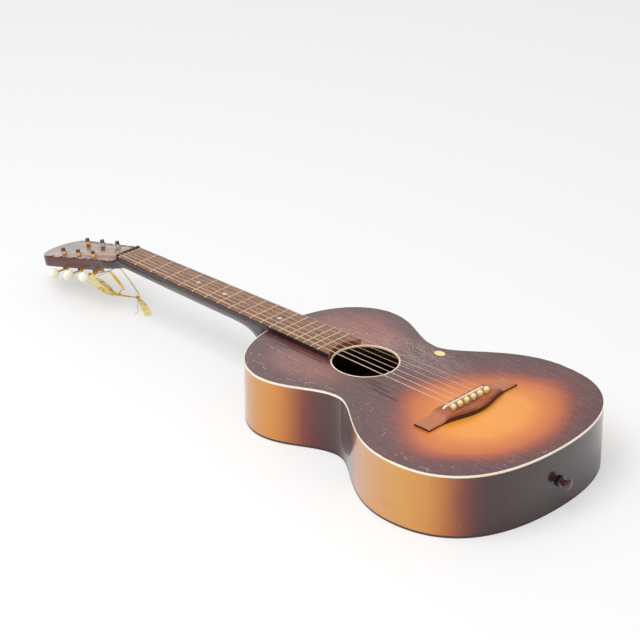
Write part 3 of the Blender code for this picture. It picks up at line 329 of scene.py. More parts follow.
def burst_top():
    """Sunburst lacquer over spruce: amber behind the bridge, then red-brown, then near black."""
    finish = Finish("sunburst_top", (150, 70, 25), 0.36, coat=0.6, coat_roughness=0.24)
    x, y = finish.axis("X"), finish.axis("Y")
    heart = (body_start + 372 * MM, -3 * MM)
    neckwards = oval(x, y, heart, 114 * MM, 122 * MM, 1.5)
    tailwards = oval(x, y, heart, 88 * MM, 122 * MM, 1.85)
    wander = (finish.noise(finish.place(), 16.0, 3.0) - 0.5) * 0.16
    reach = neckwards + (tailwards - neckwards) * (x > heart[0]) + wander
    colour = finish.ramp(
        reach / 1.5,
        (0.000, 250, 162, 60),
        (0.333, 241, 151, 46),
        (0.420, 230, 134, 36),
        (0.504, 217, 118, 26),
        (0.587, 203, 102, 26),
        (0.667, 170, 72, 16),
        (0.753, 118, 42, 32),
        (0.840, 95, 40, 42),
        (1.000, 80, 30, 36),
    )
    dark_part = finish.rise(reach, 0.85, 1.15)
    treble_glow = oval(x, y, (body_start + 96 * MM, 52 * MM), 84 * MM, 66 * MM) + 2 * wander
    colour = finish.mixed(colour, (150, 84, 72), 1 - finish.rise(treble_glow, 0.3, 1.1))
    bass_glow = oval(x, y, (body_start + 112 * MM, -66 * MM), 74 * MM, 40 * MM) + 2 * wander
    bass_glow = 1 - finish.rise(bass_glow, 0.3, 1.15)
    colour = finish.mixed(colour, (142, 80, 72), bass_glow * 0.9)

    # Grain of the spruce, and light and dark streaks in the stain
    grain = finish.noise((5, 300, 1), 3.0, 4.0, 0.6)
    colour = finish.blend(colour, (110, 48, 20), grain, 0.48, 0.78, 0.2)
    streaks = finish.noise(finish.stretched((9, 190, 1), shift=(0.3, 0.1, 0)), 3.0, 3.0, 0.6)
    deep = finish.rise(streaks, 0.50, 0.66) * dark_part
    colour = finish.mixed(colour, (30, 8, 14), deep * 0.5)
    pale = finish.rise(streaks, 0.47, 0.36) * dark_part
    colour = finish.mixed(colour, (132, 92, 88), pale * 0.3)

    # Where the strumming hand has dulled the lacquer, and fine scratches along the grain
    dulled = oval(x, y, (body_start + 196 * MM, 56 * MM), 96 * MM, 44 * MM) + 3 * wander
    dulled = 1 - finish.rise(dulled, 0.4, 1.25)
    fine = finish.noise(finish.stretched((16, 380, 1), 0.02), 3.0, 3.0, 0.7)
    hairs = finish.rise(fine, 0.56 - 0.05 * dulled, 0.70 - 0.04 * dulled)
    colour = finish.mixed(colour, (186, 158, 152), hairs * (0.08 + 0.78 * dulled))
    dust = finish.rise(finish.noise(finish.place(), 640.0, 2.0, 0.6), 0.52, 0.62)
    colour = finish.mixed(colour, (204, 180, 170), dust * dulled * 0.45)
    crossing = finish.noise(finish.stretched((420, 30, 1), 0.5, (0.2, 0.4, 0)), 2.0, 2.0, 0.6)
    crossing = finish.rise(crossing, 0.68, 0.75) * dark_part
    colour = finish.mixed(colour, (206, 186, 180), crossing * 0.4)

    # Crazed lacquer, broken into short curls, most of it near the edge
    edge = finish.attribute("edge_distance")
    crazed = {"Vector": finish.shaken(14 * MM, 40.0), "Scale": 85.0}
    cells = finish.node("ShaderNodeTexVoronoi", {"feature": "DISTANCE_TO_EDGE"}, crazed)
    breaks = finish.noise(finish.place(), 150.0, 2.0, 0.5)
    curls = finish.rise(cells, 0.06, 0.02) * finish.rise(breaks, 0.60, 0.66)
    curls = curls * (0.25 + 0.75 * finish.rise(y, -20 * MM, -80 * MM)) * dark_part
    curls = curls * (0.3 + 0.7 * finish.rise(edge, 48 * MM, 12 * MM))
    colour = finish.mixed(colour, (210, 190, 182), curls * 0.42)
    specks = finish.noise(finish.place(), 520.0, 1.0, 0.5)
    specks = finish.rise(specks, 0.70, 0.76) * (0.3 + 0.7 * dark_part)
    colour = finish.mixed(colour, (206, 184, 170), specks * 0.5)

    # Single marks
    shaken = finish.shaken(7 * MM, 90.0)
    light = 0.0
    for start, end in light_scratches:
        light = light + finish.stroke(shaken, on_top(start), on_top(end), 0.7 * MM)
    light = light * finish.rise(breaks, 0.36, 0.52)
    for place_x, place_y, radius in chips:
        spot = oval(x, y, on_top((place_x, place_y)), radius * MM, radius * MM)
        light = light + finish.rise(spot, 1.0, 0.6)
    colour = finish.blend(colour, (226, 206, 196), light, 0.0, 1.0, 0.5)
    # Painted shadow lines of the strings and the fretboard, with less coat and more roughness.
    barely_shaken = finish.shaken(2 * MM, 50.0)
    dark = 0.0
    for start, end in painted_string_shadows:
        dark = dark + finish.stroke(barely_shaken, on_top(start), on_top(end), 1.5 * MM)
    dark = finish.rise(dark, 0.0, 1.0)
    colour = finish.mixed(colour, (34, 8, 8), dark * 0.8)
    bare = oval(x, y, on_top(pale_patch), 8.0 * MM, 6.0 * MM) + 2.6 * wander
    colour = finish.blend(colour, (252, 222, 150), bare, 1.1, 0.9)

    colour = finish.blend(colour, (40, 14, 18), edge, 3.2 * MM, 1.4 * MM, 0.7)
    finish.set("Coat Weight", 0.6 - 0.6 * dark)
    roughness = 0.30 + 0.16 * grain + 0.14 * dulled + 0.3 * dark
    return finish.done(colour, roughness, grain + 0.6 * hairs, 0.00012, 0.3)


def side_colours(finish, along):
    """Amber on the bouts, dark red-brown between them and at the tail; along is in millimetres."""
    return finish.ramp(
        along / side_run,
        (0.000, 172, 112, 60),
        (0.060, 188, 130, 78),
        (0.110, 198, 140, 86),
        (0.164, 206, 142, 76),
        (0.195, 212, 142, 62),
        (0.225, 214, 138, 46),
        (0.254, 206, 126, 32),
        (0.282, 176, 96, 20),
        (0.309, 130, 46, 18),
        (0.338, 94, 22, 20),
        (0.380, 66, 20, 24),
        (0.520, 60, 22, 26),
        (0.575, 186, 126, 80),
        (0.620, 202, 144, 92),
        (0.690, 212, 150, 82),
        (0.785, 216, 150, 60),
        (0.843, 212, 140, 52),
        (0.870, 196, 120, 36),
        (0.896, 168, 88, 22),
        (0.918, 126, 48, 18),
        (0.937, 84, 22, 20),
        (0.953, 58, 16, 18),
        (1.000, 46, 18, 22),
    )


def burst_side():
    """Shaded sides under gloss lacquer, with figure across the grain, small scratches and painted shade
    along their foot.
    """
    finish = Finish("sunburst_side", (120, 60, 20), 0.22, coat=0.7, coat_roughness=0.1)
    wander = (finish.noise((1, 1, 0.5), 20.0, 2.0) - 0.5) * 9
    along = (finish.axis("X") - body_start) / MM + wander
    grain = finish.noise((7, 7, 200), 3.0, 4.0, 0.6)
    amber = side_colours(finish, along)
    colour = finish.blend(amber, (92, 44, 18), grain, 0.5, 0.8, 0.12)
    cloud = finish.noise((1, 1, 2), 26.0, 3.0, 0.5)
    colour = finish.blend(colour, (40, 16, 14), cloud, 0.55, 0.8, 0.10)
    hairs = finish.noise(finish.stretched((20, 20, 700), shift=(0.2, 0, 0)), 3.0, 2.0, 0.7)
    colour = finish.blend(colour, (226, 190, 156), hairs, 0.68, 0.76, 0.2)
    specks = finish.noise(finish.place(), 380.0, 1.0, 0.5)
    colour = finish.blend(colour, (236, 214, 190), specks, 0.76, 0.80, 0.2)
    # Painted shade along the foot of the sides, next to the back.
    rim = finish.rise(finish.axis("Z"), 3.4 * MM, 1.6 * MM)
    colour = finish.mixed(colour, (48, 24, 20), rim * 0.75)
    return finish.done(colour, 0.16 + 0.14 * grain, grain, 0.00008, 0.2)


def burst_back():
    """Back plate: shaded lacquer outside; inside, plain wood darkened with painted shade."""
    finish = Finish("sunburst_back", (120, 60, 20), 0.3, coat=0.6, coat_roughness=0.16)
    x, y = finish.axis("X"), finish.axis("Y")
    wander = (finish.noise(finish.place(), 12.0, 2.0) - 0.5) * 0.15
    lower = oval(x, y, (body_start + 345 * MM, 0.0), 150 * MM, 150 * MM)
    upper = oval(x, y, (body_start + 100 * MM, 0.0), 118 * MM, 112 * MM)
    reach = finish.maths("MINIMUM", lower, upper) + wander
    colour = finish.ramp(
        reach,
        (0.00, 206, 134, 58),
        (0.45, 184, 108, 44),
        (0.70, 126, 60, 34),
        (0.90, 70, 32, 28),
        (1.00, 48, 26, 26),
    )
    grain = finish.noise((5, 160, 1), 3.0, 4.0, 0.6)
    colour = finish.blend(colour, (56, 24, 14), grain, 0.48, 0.78, 0.3)
    # Inside, the back is dark wood whose darkness is partly painted shade of the closed body.
    inside = finish.rise(finish.axis("Z"), back_thickness - 0.6 * MM, back_thickness - 0.2 * MM)
    colour = finish.mixed(colour, (72, 42, 28), inside)
    finish.set("Coat Weight", 0.6 - 0.6 * inside)
    return finish.done(colour, 0.24 + 0.16 * grain + 0.3 * inside, grain, 0.00015, 0.25)


def neck_lacquer():
    """Dark lacquer on neck and headstock, red-brown at the headstock's side and chipped at its edge;
    painted sheen on the face and painted highlights along the chips.
    """
    finish = Finish("dark_lacquer", (40, 28, 30), 0.3, coat=0.7, coat_roughness=0.15)
    turn = head_frame.to_3x3()
    start = tuple(head_frame.translation)
    along = -1 * finish.measured(tuple(turn @ Vector((1, 0, 0))), start)
    height = finish.measured(tuple(turn @ Vector((0, 0, 1))), start)
    y = finish.axis("Y")
    head = finish.rise(along, head_start - 1 * MM, head_start + 1 * MM)
    on_face = head * finish.rise(height, -0.4 * MM, -0.1 * MM)

    cloud = finish.noise((6, 14, 14), 4.0, 4.0, 0.6)
    neck_wood = finish.blend((54, 44, 47), (82, 68, 68), cloud, 0.4, 0.7)
    side_wood = finish.blend((78, 22, 14), (110, 48, 32), cloud, 0.4, 0.7)
    # The face's paler colour is partly its wood and partly painted sheen of the lacquer.
    face_wood_and_sheen = finish.blend((138, 112, 98), (174, 138, 118), cloud, 0.4, 0.7)
    reddened = finish.rise(along + (cloud - 0.5) * 30 * MM, 34 * MM, 78 * MM)
    colour = finish.mixed(neck_wood, side_wood, reddened)
    colour = finish.mixed(colour, face_wood_and_sheen, on_face)

    # Chips along the long edges, where the face's lacquer has broken away
    t = (along - head_side_start) / (head_side_end - head_side_start)
    swell = 0.75 * t * (1 - t) ** 2 + 2 * t**2 * (1 - t) + t**3
    half = head_shoulder_half + (head_crown_half - head_shoulder_half) * swell
    inwards = half - abs(y)
    ragged = finish.noise((1, 0.3, 0.3), 120.0, 4.0, 0.7)
    bite = finish.rise(ragged, 0.36, 0.62) * 7 * MM
    chipped = on_face * finish.rise(inwards - bite, 0.6 * MM, -0.3 * MM)
    colour = finish.mixed(colour, (72, 20, 18), chipped)
    # The pale pink rim along the chips is painted highlight on their broken edges.
    rim = on_face * finish.rise(abs(inwards - bite - 0.8 * MM), 1.1 * MM, 0.4 * MM)
    colour = finish.mixed(colour, (236, 190, 178), rim * finish.rise(ragged, 0.46, 0.56) * 0.55)
    lip = head * (1 - on_face) * finish.rise(height + 0.3 * bite, -1.8 * MM, -0.6 * MM)
    colour = finish.mixed(colour, (74, 20, 20), lip * 0.75)

    worn = finish.noise((8, 60, 60), 5.0, 3.0, 0.7)
    colour = finish.blend(colour, (128, 96, 84), worn, 0.62, 0.78, 0.35)
    dull_side = reddened * (1 - on_face)
    finish.set("Coat Weight", 0.7 - 0.7 * chipped - 0.5 * dull_side)
    return finish.done(colour, 0.22 + 0.2 * cloud + 0.5 * chipped, worn + cloud, 0.00015, 0.25)


def fretboard_wood():
    """Open-grained board, worn pale on top, with the neck's lacquer sprayed over its sides."""
    finish = Finish("fretboard_wood", (96, 56, 42), 0.5)
    x, y = finish.axis("X"), finish.axis("Y")
    grain = finish.noise((14, 300, 60), 3.0, 5.0, 0.65)
    colour = finish.blend((160, 119, 94), (94, 63, 49), grain, 0.38, 0.68)
    cloud = finish.noise((5, 26, 5), 6.0, 3.0, 0.6)
    colour = finish.blend(colour, (190, 150, 128), cloud, 0.5, 0.75, 0.5)
    pores = finish.noise((60, 1200, 60), 3.0, 2.0, 0.6)
    colour = finish.blend(colour, (44, 24, 20), pores, 0.6, 0.72, 0.5)
    low = finish.rise(finish.axis("Z"), board_top - 0.2 * MM, board_top - 0.7 * MM)
    over_body = finish.rise(x, body_start - 2 * MM, body_start + 2 * MM)
    colour = finish.mixed(colour, (52, 22, 18), low * (0.95 - 0.5 * over_body))
    sprayed = finish.rise(finish.axis("Z"), board_top - 2.2 * MM, board_top - 2.9 * MM)
    colour = finish.mixed(colour, (74, 63, 63), sprayed * (1 - over_body))
    colour = finish.mixed(colour, (14, 8, 7), low * over_body * 0.9)
    scoop_radius = ring_radius + scoop_clearance
    scooped = finish.rise(oval(x, y, (hole.x, 0.0), scoop_radius, scoop_radius), 1.05, 1.01)
    colour = finish.mixed(colour, (150, 78, 56), scooped * 0.85)
    return finish.done(colour, 0.42 + 0.2 * grain, grain, 0.0002, 0.4)


def bridge_wood():
    """Reddish bridge wood with painted shade on its sides, so that they are darker than its top."""
    finish = Finish("bridge_wood", (112, 62, 40), 0.42, coat=0.2, coat_roughness=0.3)
    grain = finish.noise((160, 10, 40), 3.0, 5.0, 0.65)
    colour = finish.blend((184, 98, 46), (140, 64, 28), grain, 0.36, 0.68)
    wings = finish.rise(abs(finish.axis("Y")), 40 * MM, 58 * MM)
    colour = finish.mixed(colour, (192, 124, 82), wings * 0.6)
    rub = finish.noise(finish.place(), 90.0, 3.0, 0.6)
    colour = finish.blend(colour, (214, 134, 76), rub, 0.6, 0.74, 0.4)
    handled = oval(finish.axis("X"), finish.axis("Y"), (pin_row.x, 0.0), 7 * MM, 44 * MM) + 0.5 * rub
    colour = finish.blend(colour, (104, 48, 28), handled, 1.3, 0.9, 0.6)
    # Faces that don't point up get painted shade.
    facing = finish.node("ShaderNodeNewGeometry", output="Normal")
    upward = finish.node("ShaderNodeSeparateXYZ", sockets={0: facing}, output="Z")
    colour = finish.mixed((64, 26, 16), colour, finish.rise(upward, 0.35, 0.85))
    return finish.done(colour, 0.34 + 0.2 * grain, grain, 0.0002, 0.35)


def edge_celluloid():
    """Cream strip, aged and nicked, with lacquer over the inner part of its top."""
    finish = Finish("cream_binding", (255, 240, 210), 0.3, coat=0.3)
    age = finish.noise(finish.place(), 30.0, 4.0, 0.6)
    colour = finish.blend((255, 249, 232), (255, 238, 200), age, 0.4, 0.7)
    nicks = finish.noise(finish.place(), 240.0, 2.0, 0.6)
    colour = finish.blend(colour, (176, 110, 60), nicks, 0.70, 0.76, 0.6)
    chip = oval(finish.axis("X"), finish.axis("Y"), on_top(binding_chip), 9 * MM, 7 * MM)
    chip = finish.rise(chip + age, 1.7, 1.25)
    colour = finish.mixed(colour, (238, 176, 108), chip * 0.4)
    flat = finish.rise(finish.axis("Z"), face - 0.25 * MM, face - 0.08 * MM)
    inner = flat * finish.rise(finish.attribute("edge_distance"), 0.8 * MM, 1.1 * MM)
    colour = finish.mixed(colour, (70, 30, 30), inner * (0.85 - 0.85 * chip))
    return finish.done(colour, 0.24 + 0.14 * age, nicks, 0.00005, 0.3)


def ring_celluloid():
    """Cream ring of the sound hole."""
    finish = Finish("hole_ring_cream", (255, 240, 210), 0.3, coat=0.3)
    age = finish.noise(finish.place(), 70.0, 4.0, 0.6)
    colour = finish.blend((255, 242, 214), (252, 218, 166), age, 0.42, 0.7)
    return finish.done(colour, 0.24 + 0.14 * age, age, 0.00005, 0.3)


def mottled(name, main, other, rough, size, share=0.6, stretch=(1, 1, 1), depth=0.00005, **look):
    """A finish whose colour and gloss drift between two shades."""
    finish = Finish(name, main, rough, **look)
    drift = finish.noise(finish.stretched(stretch), size, 4.0, 0.6)
    colour = finish.blend(main, other, drift, 0.42, 0.72, share)
    return finish.done(colour, (rough - 0.06) + 0.14 * drift, drift, depth, 0.3)


def end_pin_finish():
    """Black collar and neck, dark red-brown head."""
    finish = Finish("end_pin", (60, 20, 16), 0.16, coat=0.8, coat_roughness=0.05)
    drift = finish.noise(finish.place(), 160.0, 3.0, 0.6)
    head = finish.blend((58, 20, 16), (98, 40, 30), drift, 0.4, 0.7)
    out = finish.rise(finish.axis("X"), body_end + 4.4 * MM, body_end + 5.6 * MM)
    finish.set("Base Color", finish.mixed((16, 12, 12), head, out))
    finish.set("Roughness", 0.12 + 0.12 * drift)
    return finish


def wound_wire():
    """Bronze wire wound round a core, light where it shines, with painted light on the headstock."""
    finish = Finish("bronze_string", (224, 194, 164), 0.4, metallic=0.6)
    turns = finish.node(
        "ShaderNodeTexWave",
        {"wave_type": "BANDS", "bands_direction": "X"},
        {"Vector": finish.place(), "Scale": 700.0, "Distortion": 0.0},
        "Fac",
    )
    tarnish = finish.noise((6, 1, 1), 14.0, 3.0, 0.6)
    colour = finish.blend((228, 196, 172), (192, 156, 130), tarnish, 0.45, 0.75)
    # On the headstock the wire is golden and paler, partly its windings' colour and partly painted
    # light for windings in shade.
    wound = finish.rise(finish.axis("X"), nut_x - 40 * MM, nut_x - 50 * MM)
    colour = finish.mixed(colour, (255, 206, 140), wound)
    colour = finish.mixed(colour, (100, 66, 40), turns * 0.18)
    return finish.done(colour, 0.32 + 0.2 * tarnish, turns, 0.00004, 0.3)


def satin_ribbon():
    """Yellow satin: fine cross threads, pale patches of painted sheen and a firm edge."""
    finish = Finish("ribbon", (240, 200, 40), 0.34)
    run, across = finish.attribute("run"), finish.attribute("across")
    # Pale patches are painted sheen of the satin.
    painted_sheen = finish.noise(finish.place(), 110.0, 3.0, 0.5)
    colour = finish.blend((250, 200, 34), (255, 244, 158), painted_sheen, 0.38, 0.60)
    thread = finish.node("ShaderNodeTexNoise", sockets={"Vector": finish.place(), "Scale": 1900.0})
    colour = finish.blend(colour, (214, 160, 26), thread, 0.58, 0.74, 0.25)
    selvage = finish.rise(abs(across), 0.80, 0.95)
    colour = finish.mixed(colour, (214, 158, 28), selvage * 0.5)
    ribs = finish.node("ShaderNodeMath", {"operation": "SINE"}, {0: run * 12000})
    return finish.done(colour, 0.26 + 0.22 * painted_sheen, ribs + 2 * selvage, 0.00004, 0.4)


def plain_finishes():
    """The finishes of one stuff all over: two shades, roughness, and the drift's size and share."""
    gloss, metal = {"coat": 0.5}, {"metallic": 1.0}
    sawn = {"stretch": (14, 14, 160), "depth": 0.0003}
    rows = (
        # Wood inside the body, darkened beyond bare wood with painted shade of the closed body.
        ("raw_wood", (92, 60, 40), (58, 36, 24), 0.75, 4.0, 0.8, sawn),
        ("black_nut", (30, 26, 26), (58, 48, 46), 0.4, 240.0, 0.6, {}),
        ("bone", (255, 248, 228), (236, 218, 180), 0.34, 160.0, 0.5, {}),
        ("ivoroid", (255, 251, 232), (246, 232, 190), 0.24, 190.0, 0.5, gloss),
        ("pin_celluloid", (255, 230, 164), (240, 194, 118), 0.28, 300.0, 0.6, {"coat": 0.4}),
        ("steel_string", (224, 208, 194), (186, 168, 152), 0.4, 60.0, 0.5, {"metallic": 0.6}),
        ("brass", (244, 196, 106), (184, 132, 62), 0.32, 170.0, 0.6, {"metallic": 0.7}),
        ("dark_steel", (104, 96, 92), (60, 52, 48), 0.34, 260.0, 0.7, metal),
        ("fret_metal", (252, 230, 200), (228, 194, 154), 0.3, 120.0, 0.6, {"metallic": 0.7}),
    )
    return {row[0]: mottled(*row[:6], **row[6]) for row in rows}


finishes = {
    **plain_finishes(),
    "sunburst_top": burst_top(),
    "sunburst_side": burst_side(),
    "sunburst_back": burst_back(),
    "cream_binding": edge_celluloid(),
    "hole_ring_cream": ring_celluloid(),
    "dark_lacquer": neck_lacquer(),
    "fretboard_wood": fretboard_wood(),
    "bridge_wood": bridge_wood(),
    "bronze_string": wound_wire(),
    "end_pin": end_pin_finish(),
    "ribbon": satin_ribbon(),
}


# Modelling steps


def only(obj):
    """Selects this object alone."""
    bpy.ops.object.select_all(action="DESELECT")
    obj.select_set(True)
    bpy.context.view_layer.objects.active = obj


def settled(obj):
    """Moves an object's place, turn and scale into its mesh."""
    only(obj)
    bpy.ops.object.transform_apply(location=True, rotation=True, scale=True)
    return obj


def added(operator, **settings):
    """The object that an operator adds, with nothing else selected."""
    bpy.ops.object.select_all(action="DESELECT")
    operator(**settings)
    return bpy.context.object


def linked(name, data):
    obj = bpy.data.objects.new(name, data)
    bpy.context.scene.collection.objects.link(obj)
    return obj


def copied(node):
    """A copy of a CAD node's mesh as a new object."""
    return linked(node + "_refined", frame["nodes"][node].data.copy())


def joined(parts):
    """One object made of several, with their places in its mesh."""
    bpy.ops.object.select_all(action="DESELECT")
    for part in parts:
        part.select_set(True)
    bpy.context.view_layer.objects.active = parts[0]
    bpy.ops.object.join()
    return settled(bpy.context.object)


def skinned(name, shape, rings):
    """An object whose skin runs over rings of vertices and closes at both ends."""
    for low, high in zip(rings, rings[1:]):
        for corners in zip(low, low[1:] + low[:1], high[1:] + high[:1], high):
            shape.faces.new(corners)
    shape.faces.new(rings[0][::-1])
    shape.faces.new(rings[-1])
    bmesh.ops.recalc_face_normals(shape, faces=shape.faces)
    mesh = bpy.data.meshes.new(name)
    shape.to_mesh(mesh)
    shape.free()
    return linked(name, mesh)


def edited(obj, *steps):
    """Runs edit-mode steps on the whole mesh."""
    only(obj)
    bpy.ops.object.mode_set(mode="EDIT")
    bpy.ops.mesh.select_all(action="SELECT")
    for step in steps:
        step()
    bpy.ops.object.mode_set(mode="OBJECT")


def modified(obj, kind, **settings):
    """Adds a modifier and applies it."""
    only(obj)
    modifier = obj.modifiers.new(kind.lower(), kind)
    for name, value in settings.items():
        setattr(modifier, name, value)
    bpy.ops.object.modifier_apply(modifier=modifier.name)
    return obj


def softened(obj, width, segments, **more):
    modified(obj, "BEVEL", width=width, segments=segments, limit_method="ANGLE", **more)


def weld():
    bpy.ops.mesh.remove_doubles(threshold=0.000005)


def face_out():
    bpy.ops.mesh.normals_make_consistent(inside=False)


def finished(obj, name, slot, *nodes, body=BODY, angle=35, finish=None):
    """Names a piece, gives it its finish and body, and lets it stand for its CAD nodes."""
    settled(obj)
    bpy.ops.object.shade_smooth_by_angle(angle=math.radians(angle))
    obj.name = name
    obj.data.name = name
    obj.data.materials.clear()
    obj.data.materials.append(finishes[finish or slot].material)
    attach(obj, body)
    if nodes:
        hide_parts(*nodes)
    return obj


def refined(node, slot, soften=0.0, segments=2, angle=35, finish=None):
    """A welded copy of a CAD node, with softened edges and smooth shading."""
    obj = copied(node)
    flat = math.radians(0.5)
    edited(obj, weld, lambda: bpy.ops.mesh.dissolve_limited(angle_limit=flat))
    if soften:
        softened(obj, soften, segments)
    body = frame["nodes"][node]["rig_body"]
    return finished(obj, node + "_refined", slot, node, body=body, angle=angle, finish=finish)


# Camera and ribbon


def make_camera():
    data = bpy.data.cameras.new("camera")
    data.lens = camera_lens
    data.sensor_width = 36.0
    camera = linked("camera", data)
    turn = Matrix.Rotation(camera_azimuth, 4, "Z")
    tilt = Matrix.Rotation(math.pi / 2 - camera_elevation, 4, "X")
    roll = Matrix.Rotation(camera_roll, 4, "Z")
    camera.matrix_world = Matrix.Translation(camera_place) @ turn @ tilt @ roll
    bpy.context.scene.camera = camera


def in_row(point):
    """A place given in millimetres from the nut line at the height of the top, in metres."""
    return Vector((nut_x, 0, face)) + Vector(point) * MM


def flowing(rows, steps):
    """Smooth run through rows of numbers, with a set number of steps between each two."""
    rows = [Vector(row) for row in rows]
    padded = [2 * rows[0] - rows[1], *rows, 2 * rows[-1] - rows[-2]]
    run = []
    for a, b, c, d in zip(padded, padded[1:], padded[2:], padded[3:]):
        for i in range(steps):
            t = i / steps
            line = 2 * b + (c - a) * t + (2 * a - 5 * b + 4 * c - d) * t**2
            run.append((line + (3 * b - a - 3 * c + d) * t**3) / 2)
    return run + [rows[-1]]


def flat_strand(name, rows, thickness=0.35 * MM, cup=0.22, steps=7):
    """A band along rows of (place, half width, side that it lies along), and the line it follows."""
    line = flowing([in_row(row[0]) for row in rows], steps)
    halves = flowing([(row[1] * MM, 0) for row in rows], steps)
    sides = flowing([row[2] for row in rows], steps)
    shape = bmesh.new()
    run_layer = shape.verts.layers.float.new("run")
    across_layer = shape.verts.layers.float.new("across")
    shares = (-1, -0.72, -0.4, 0, 0.4, 0.72, 1)
    rings, run = [], 0.0
    for i, point in enumerate(line):
        ahead = (line[min(i + 1, len(line) - 1)] - line[max(i - 1, 0)]).normalized()
        side = (sides[i] - sides[i].dot(ahead) * ahead).normalized()
        up = side.cross(ahead)
        run += (point - line[i - 1]).length if i else 0.0
        ring = []
        for step, layer_side in [(s, 1) for s in shares] + [(s, -1) for s in reversed(shares)]:
            rise = cup * halves[i][0] * (1 - step**2) + layer_side * thickness / 2
            corner = shape.verts.new(point + step * halves[i][0] * side + rise * up)
            corner[run_layer], corner[across_layer] = run, step
            ring.append(corner)
        rings.append(ring)
    obj = skinned(name, shape, rings)
    return finished(obj, name, "ribbon", "ribbon", angle=50), line


def make_knot(name, centre, size):
    """A small overhand knot, pulled tight."""
    rows = []
    for i in range(19):
        t = 2 * math.pi * i / 18 + 0.4
        loop = Vector((math.sin(t) + 1.6 * math.sin(2 * t), math.cos(t) - 1.6 * math.cos(2 * t)))
        place = Vector(centre) + 0.42 * size * Vector((loop.x, loop.y, -0.9 * math.sin(3 * t)))
        rows.append((place, 0.42 * size, (math.sin(t), math.cos(t), 0.6)))
    return flat_strand(name, rows, 0.5 * MM, 0.5, 4)[0]


def declared(obj, line, width, far_end, *pieces):
    """Adds up the length of a strand's line; nothing is done with it."""
    long = sum((b - a).length for a, b in zip(line, line[1:]))


def make_ribbon():
    """Two strands from the tuner shaft to a knot, a loop back, and a thin strand to the tail's knot."""
    along_shaft, to_right, broad = (0, 1, 0), (0.75, 0.65, 0.1), (0.72, 0.52, 0.46)
    flat, upright = (0.45, 0.85, 0.25), (0.2, 0.5, 0.84)
    first_knot = make_knot("ribbon_knot_near", (-50.0, 18, -83.6), 2.2)
    second_knot = make_knot("ribbon_knot_far", (-25.5, 31.2, -84), 2.0)
    near_strand = [
        ((-42.9, -40.6, -24.9), 1.5, along_shaft),
        ((-44.8, -40.9, -25.7), 1.5, along_shaft),
        ((-45.8, -41.0, -28.5), 1.6, along_shaft),
        ((-46.9, -39.0, -36.5), 2.3, to_right),
        ((-47.0, -31.5, -47.5), 3.3, broad),
        ((-47.2, -18.5, -60), 3.7, broad),
        ((-48.6, -5, -72), 3.5, broad),
        ((-51.0, 8, -80.6), 2.5, broad),
        ((-48.5, 18.2, -84.4), 1.3, flat),
        ((-38.5, 25.6, -85.6), 1.2, flat),
        ((-26.5, 30.6, -85.0), 1.2, flat),
        ((-16.0, 27.5, -84.6), 2.6, upright),
        ((1, 20, -84.4), 4.2, flat),
        ((14.5, 13, -84.8), 4.6, flat),
        ((28, 5, -85.2), 4.9, flat),
    ]
    band, line = flat_strand("ribbon_band_and_tail", near_strand)
    declared(band, line, 6.8 * MM, "bare", second_knot)
    far_strand = [
        ((-42.9, -40.4, -24.9), 1.5, along_shaft),
        ((-41.0, -40.0, -25.7), 1.5, along_shaft),
        ((-40.1, -39.3, -28.5), 1.6, along_shaft),
        ((-41.0, -36.0, -33.5), 1.9, to_right),
        ((-46.5, -23.5, -43.0), 2.9, broad),
        ((-51.5, -10, -56), 3.4, broad),
        ((-55, 3, -69.5), 3.3, broad),
        ((-57, 11.5, -79), 2.2, broad),
        ((-51.0, 17.5, -84), 1.1, broad),
    ]
    band, line = flat_strand("ribbon_second_band", far_strand)
    declared(band, line, 6 * MM, "knot", first_knot)
    loop = [
        ((-51.0, 17.5, -83.6), 0.9, broad),
        ((-46, 18, -76), 1.4, broad),
        ((-37.5, 15.5, -70), 1.9, to_right),
        ((-36.5, 10, -60), 2.3, to_right),
        ((-40.5, 1.5, -45), 2.3, to_right),
        ((-44.5, -5.5, -35.5), 2.0, to_right),
        ((-46.5, -18, -34), 1.8, to_right),
        ((-46.5, -29, -32.6), 1.5, to_right),
        ((-43, -34.5, -31), 1.2, along_shaft),
    ]
    band, line = flat_strand("ribbon_loop", loop)
    declared(band, line, 4.4 * MM, "object")
    thin_strand = [
        ((-43, -34.5, -31), 0.8, along_shaft),
        ((-38.5, -29, -32.6), 0.8, to_right),
        ((-38, -12, -32), 0.8, to_right),
        ((-39.5, 4, -32.5), 0.8, to_right),
        ((-41, 15, -38), 0.8, to_right),
        ((-35.5, 27.5, -60), 0.9, to_right),
        ((-22.5, 32, -79), 0.9, to_right),
        ((-19, 28, -83.5), 0.6, to_right),
        ((-13, 20.5, -86.8), 0.5, flat),
        ((-4, 13, -87.2), 0.5, flat),
        ((5.5, 5, -87.2), 0.5, flat),
        ((9.3, -6, -87.2), 0.4, flat),
    ]
    band, line = flat_strand("ribbon_thin_strand", thin_strand, 0.3 * MM, 0.3)
    declared(band, line, 1.6 * MM, "bare")


make_camera()
make_ribbon()


# Body outline as a drawn curve


def half_knots():
    """Neck, upper bout, waist, lower bout and tail of the treble half, each with its handles."""
    marks = (0, upper_bout_at, waist_at, lower_bout_at, body_end - body_start)
    spans = [high - low for low, high in zip(marks, marks[1:])]
    before = (shoulder_fullness[1], upper_fullness[1], lower_fullness[1])
    after = (upper_fullness[0], lower_fullness[0], tail_fullness[0])
    knots = [(body_start, 0, (0, 0), (0, shoulder_fullness[0] * upper_half))]
    for i, half in enumerate((upper_half, waist_half, lower_half)):
        handles = (-before[i] * spans[i], 0), (after[i] * spans[i + 1], 0)
        knots.append((body_start + marks[i + 1], half, *handles))
    return [*knots, (body_end, 0, (0, tail_fullness[1] * lower_half), (0, 0))]


def closed_knots():
    treble = half_knots()
    neck, tail = treble[0], treble[-1]
    neck = (neck[0], 0, (0, -neck[3][1]), neck[3])
    tail = (tail[0], 0, tail[2], (0, -tail[2][1]))
    bass = [(x, -y, after, before) for x, y, before, after in reversed(treble[1:-1])]
    return [neck, *treble[1:-1], tail, *bass]


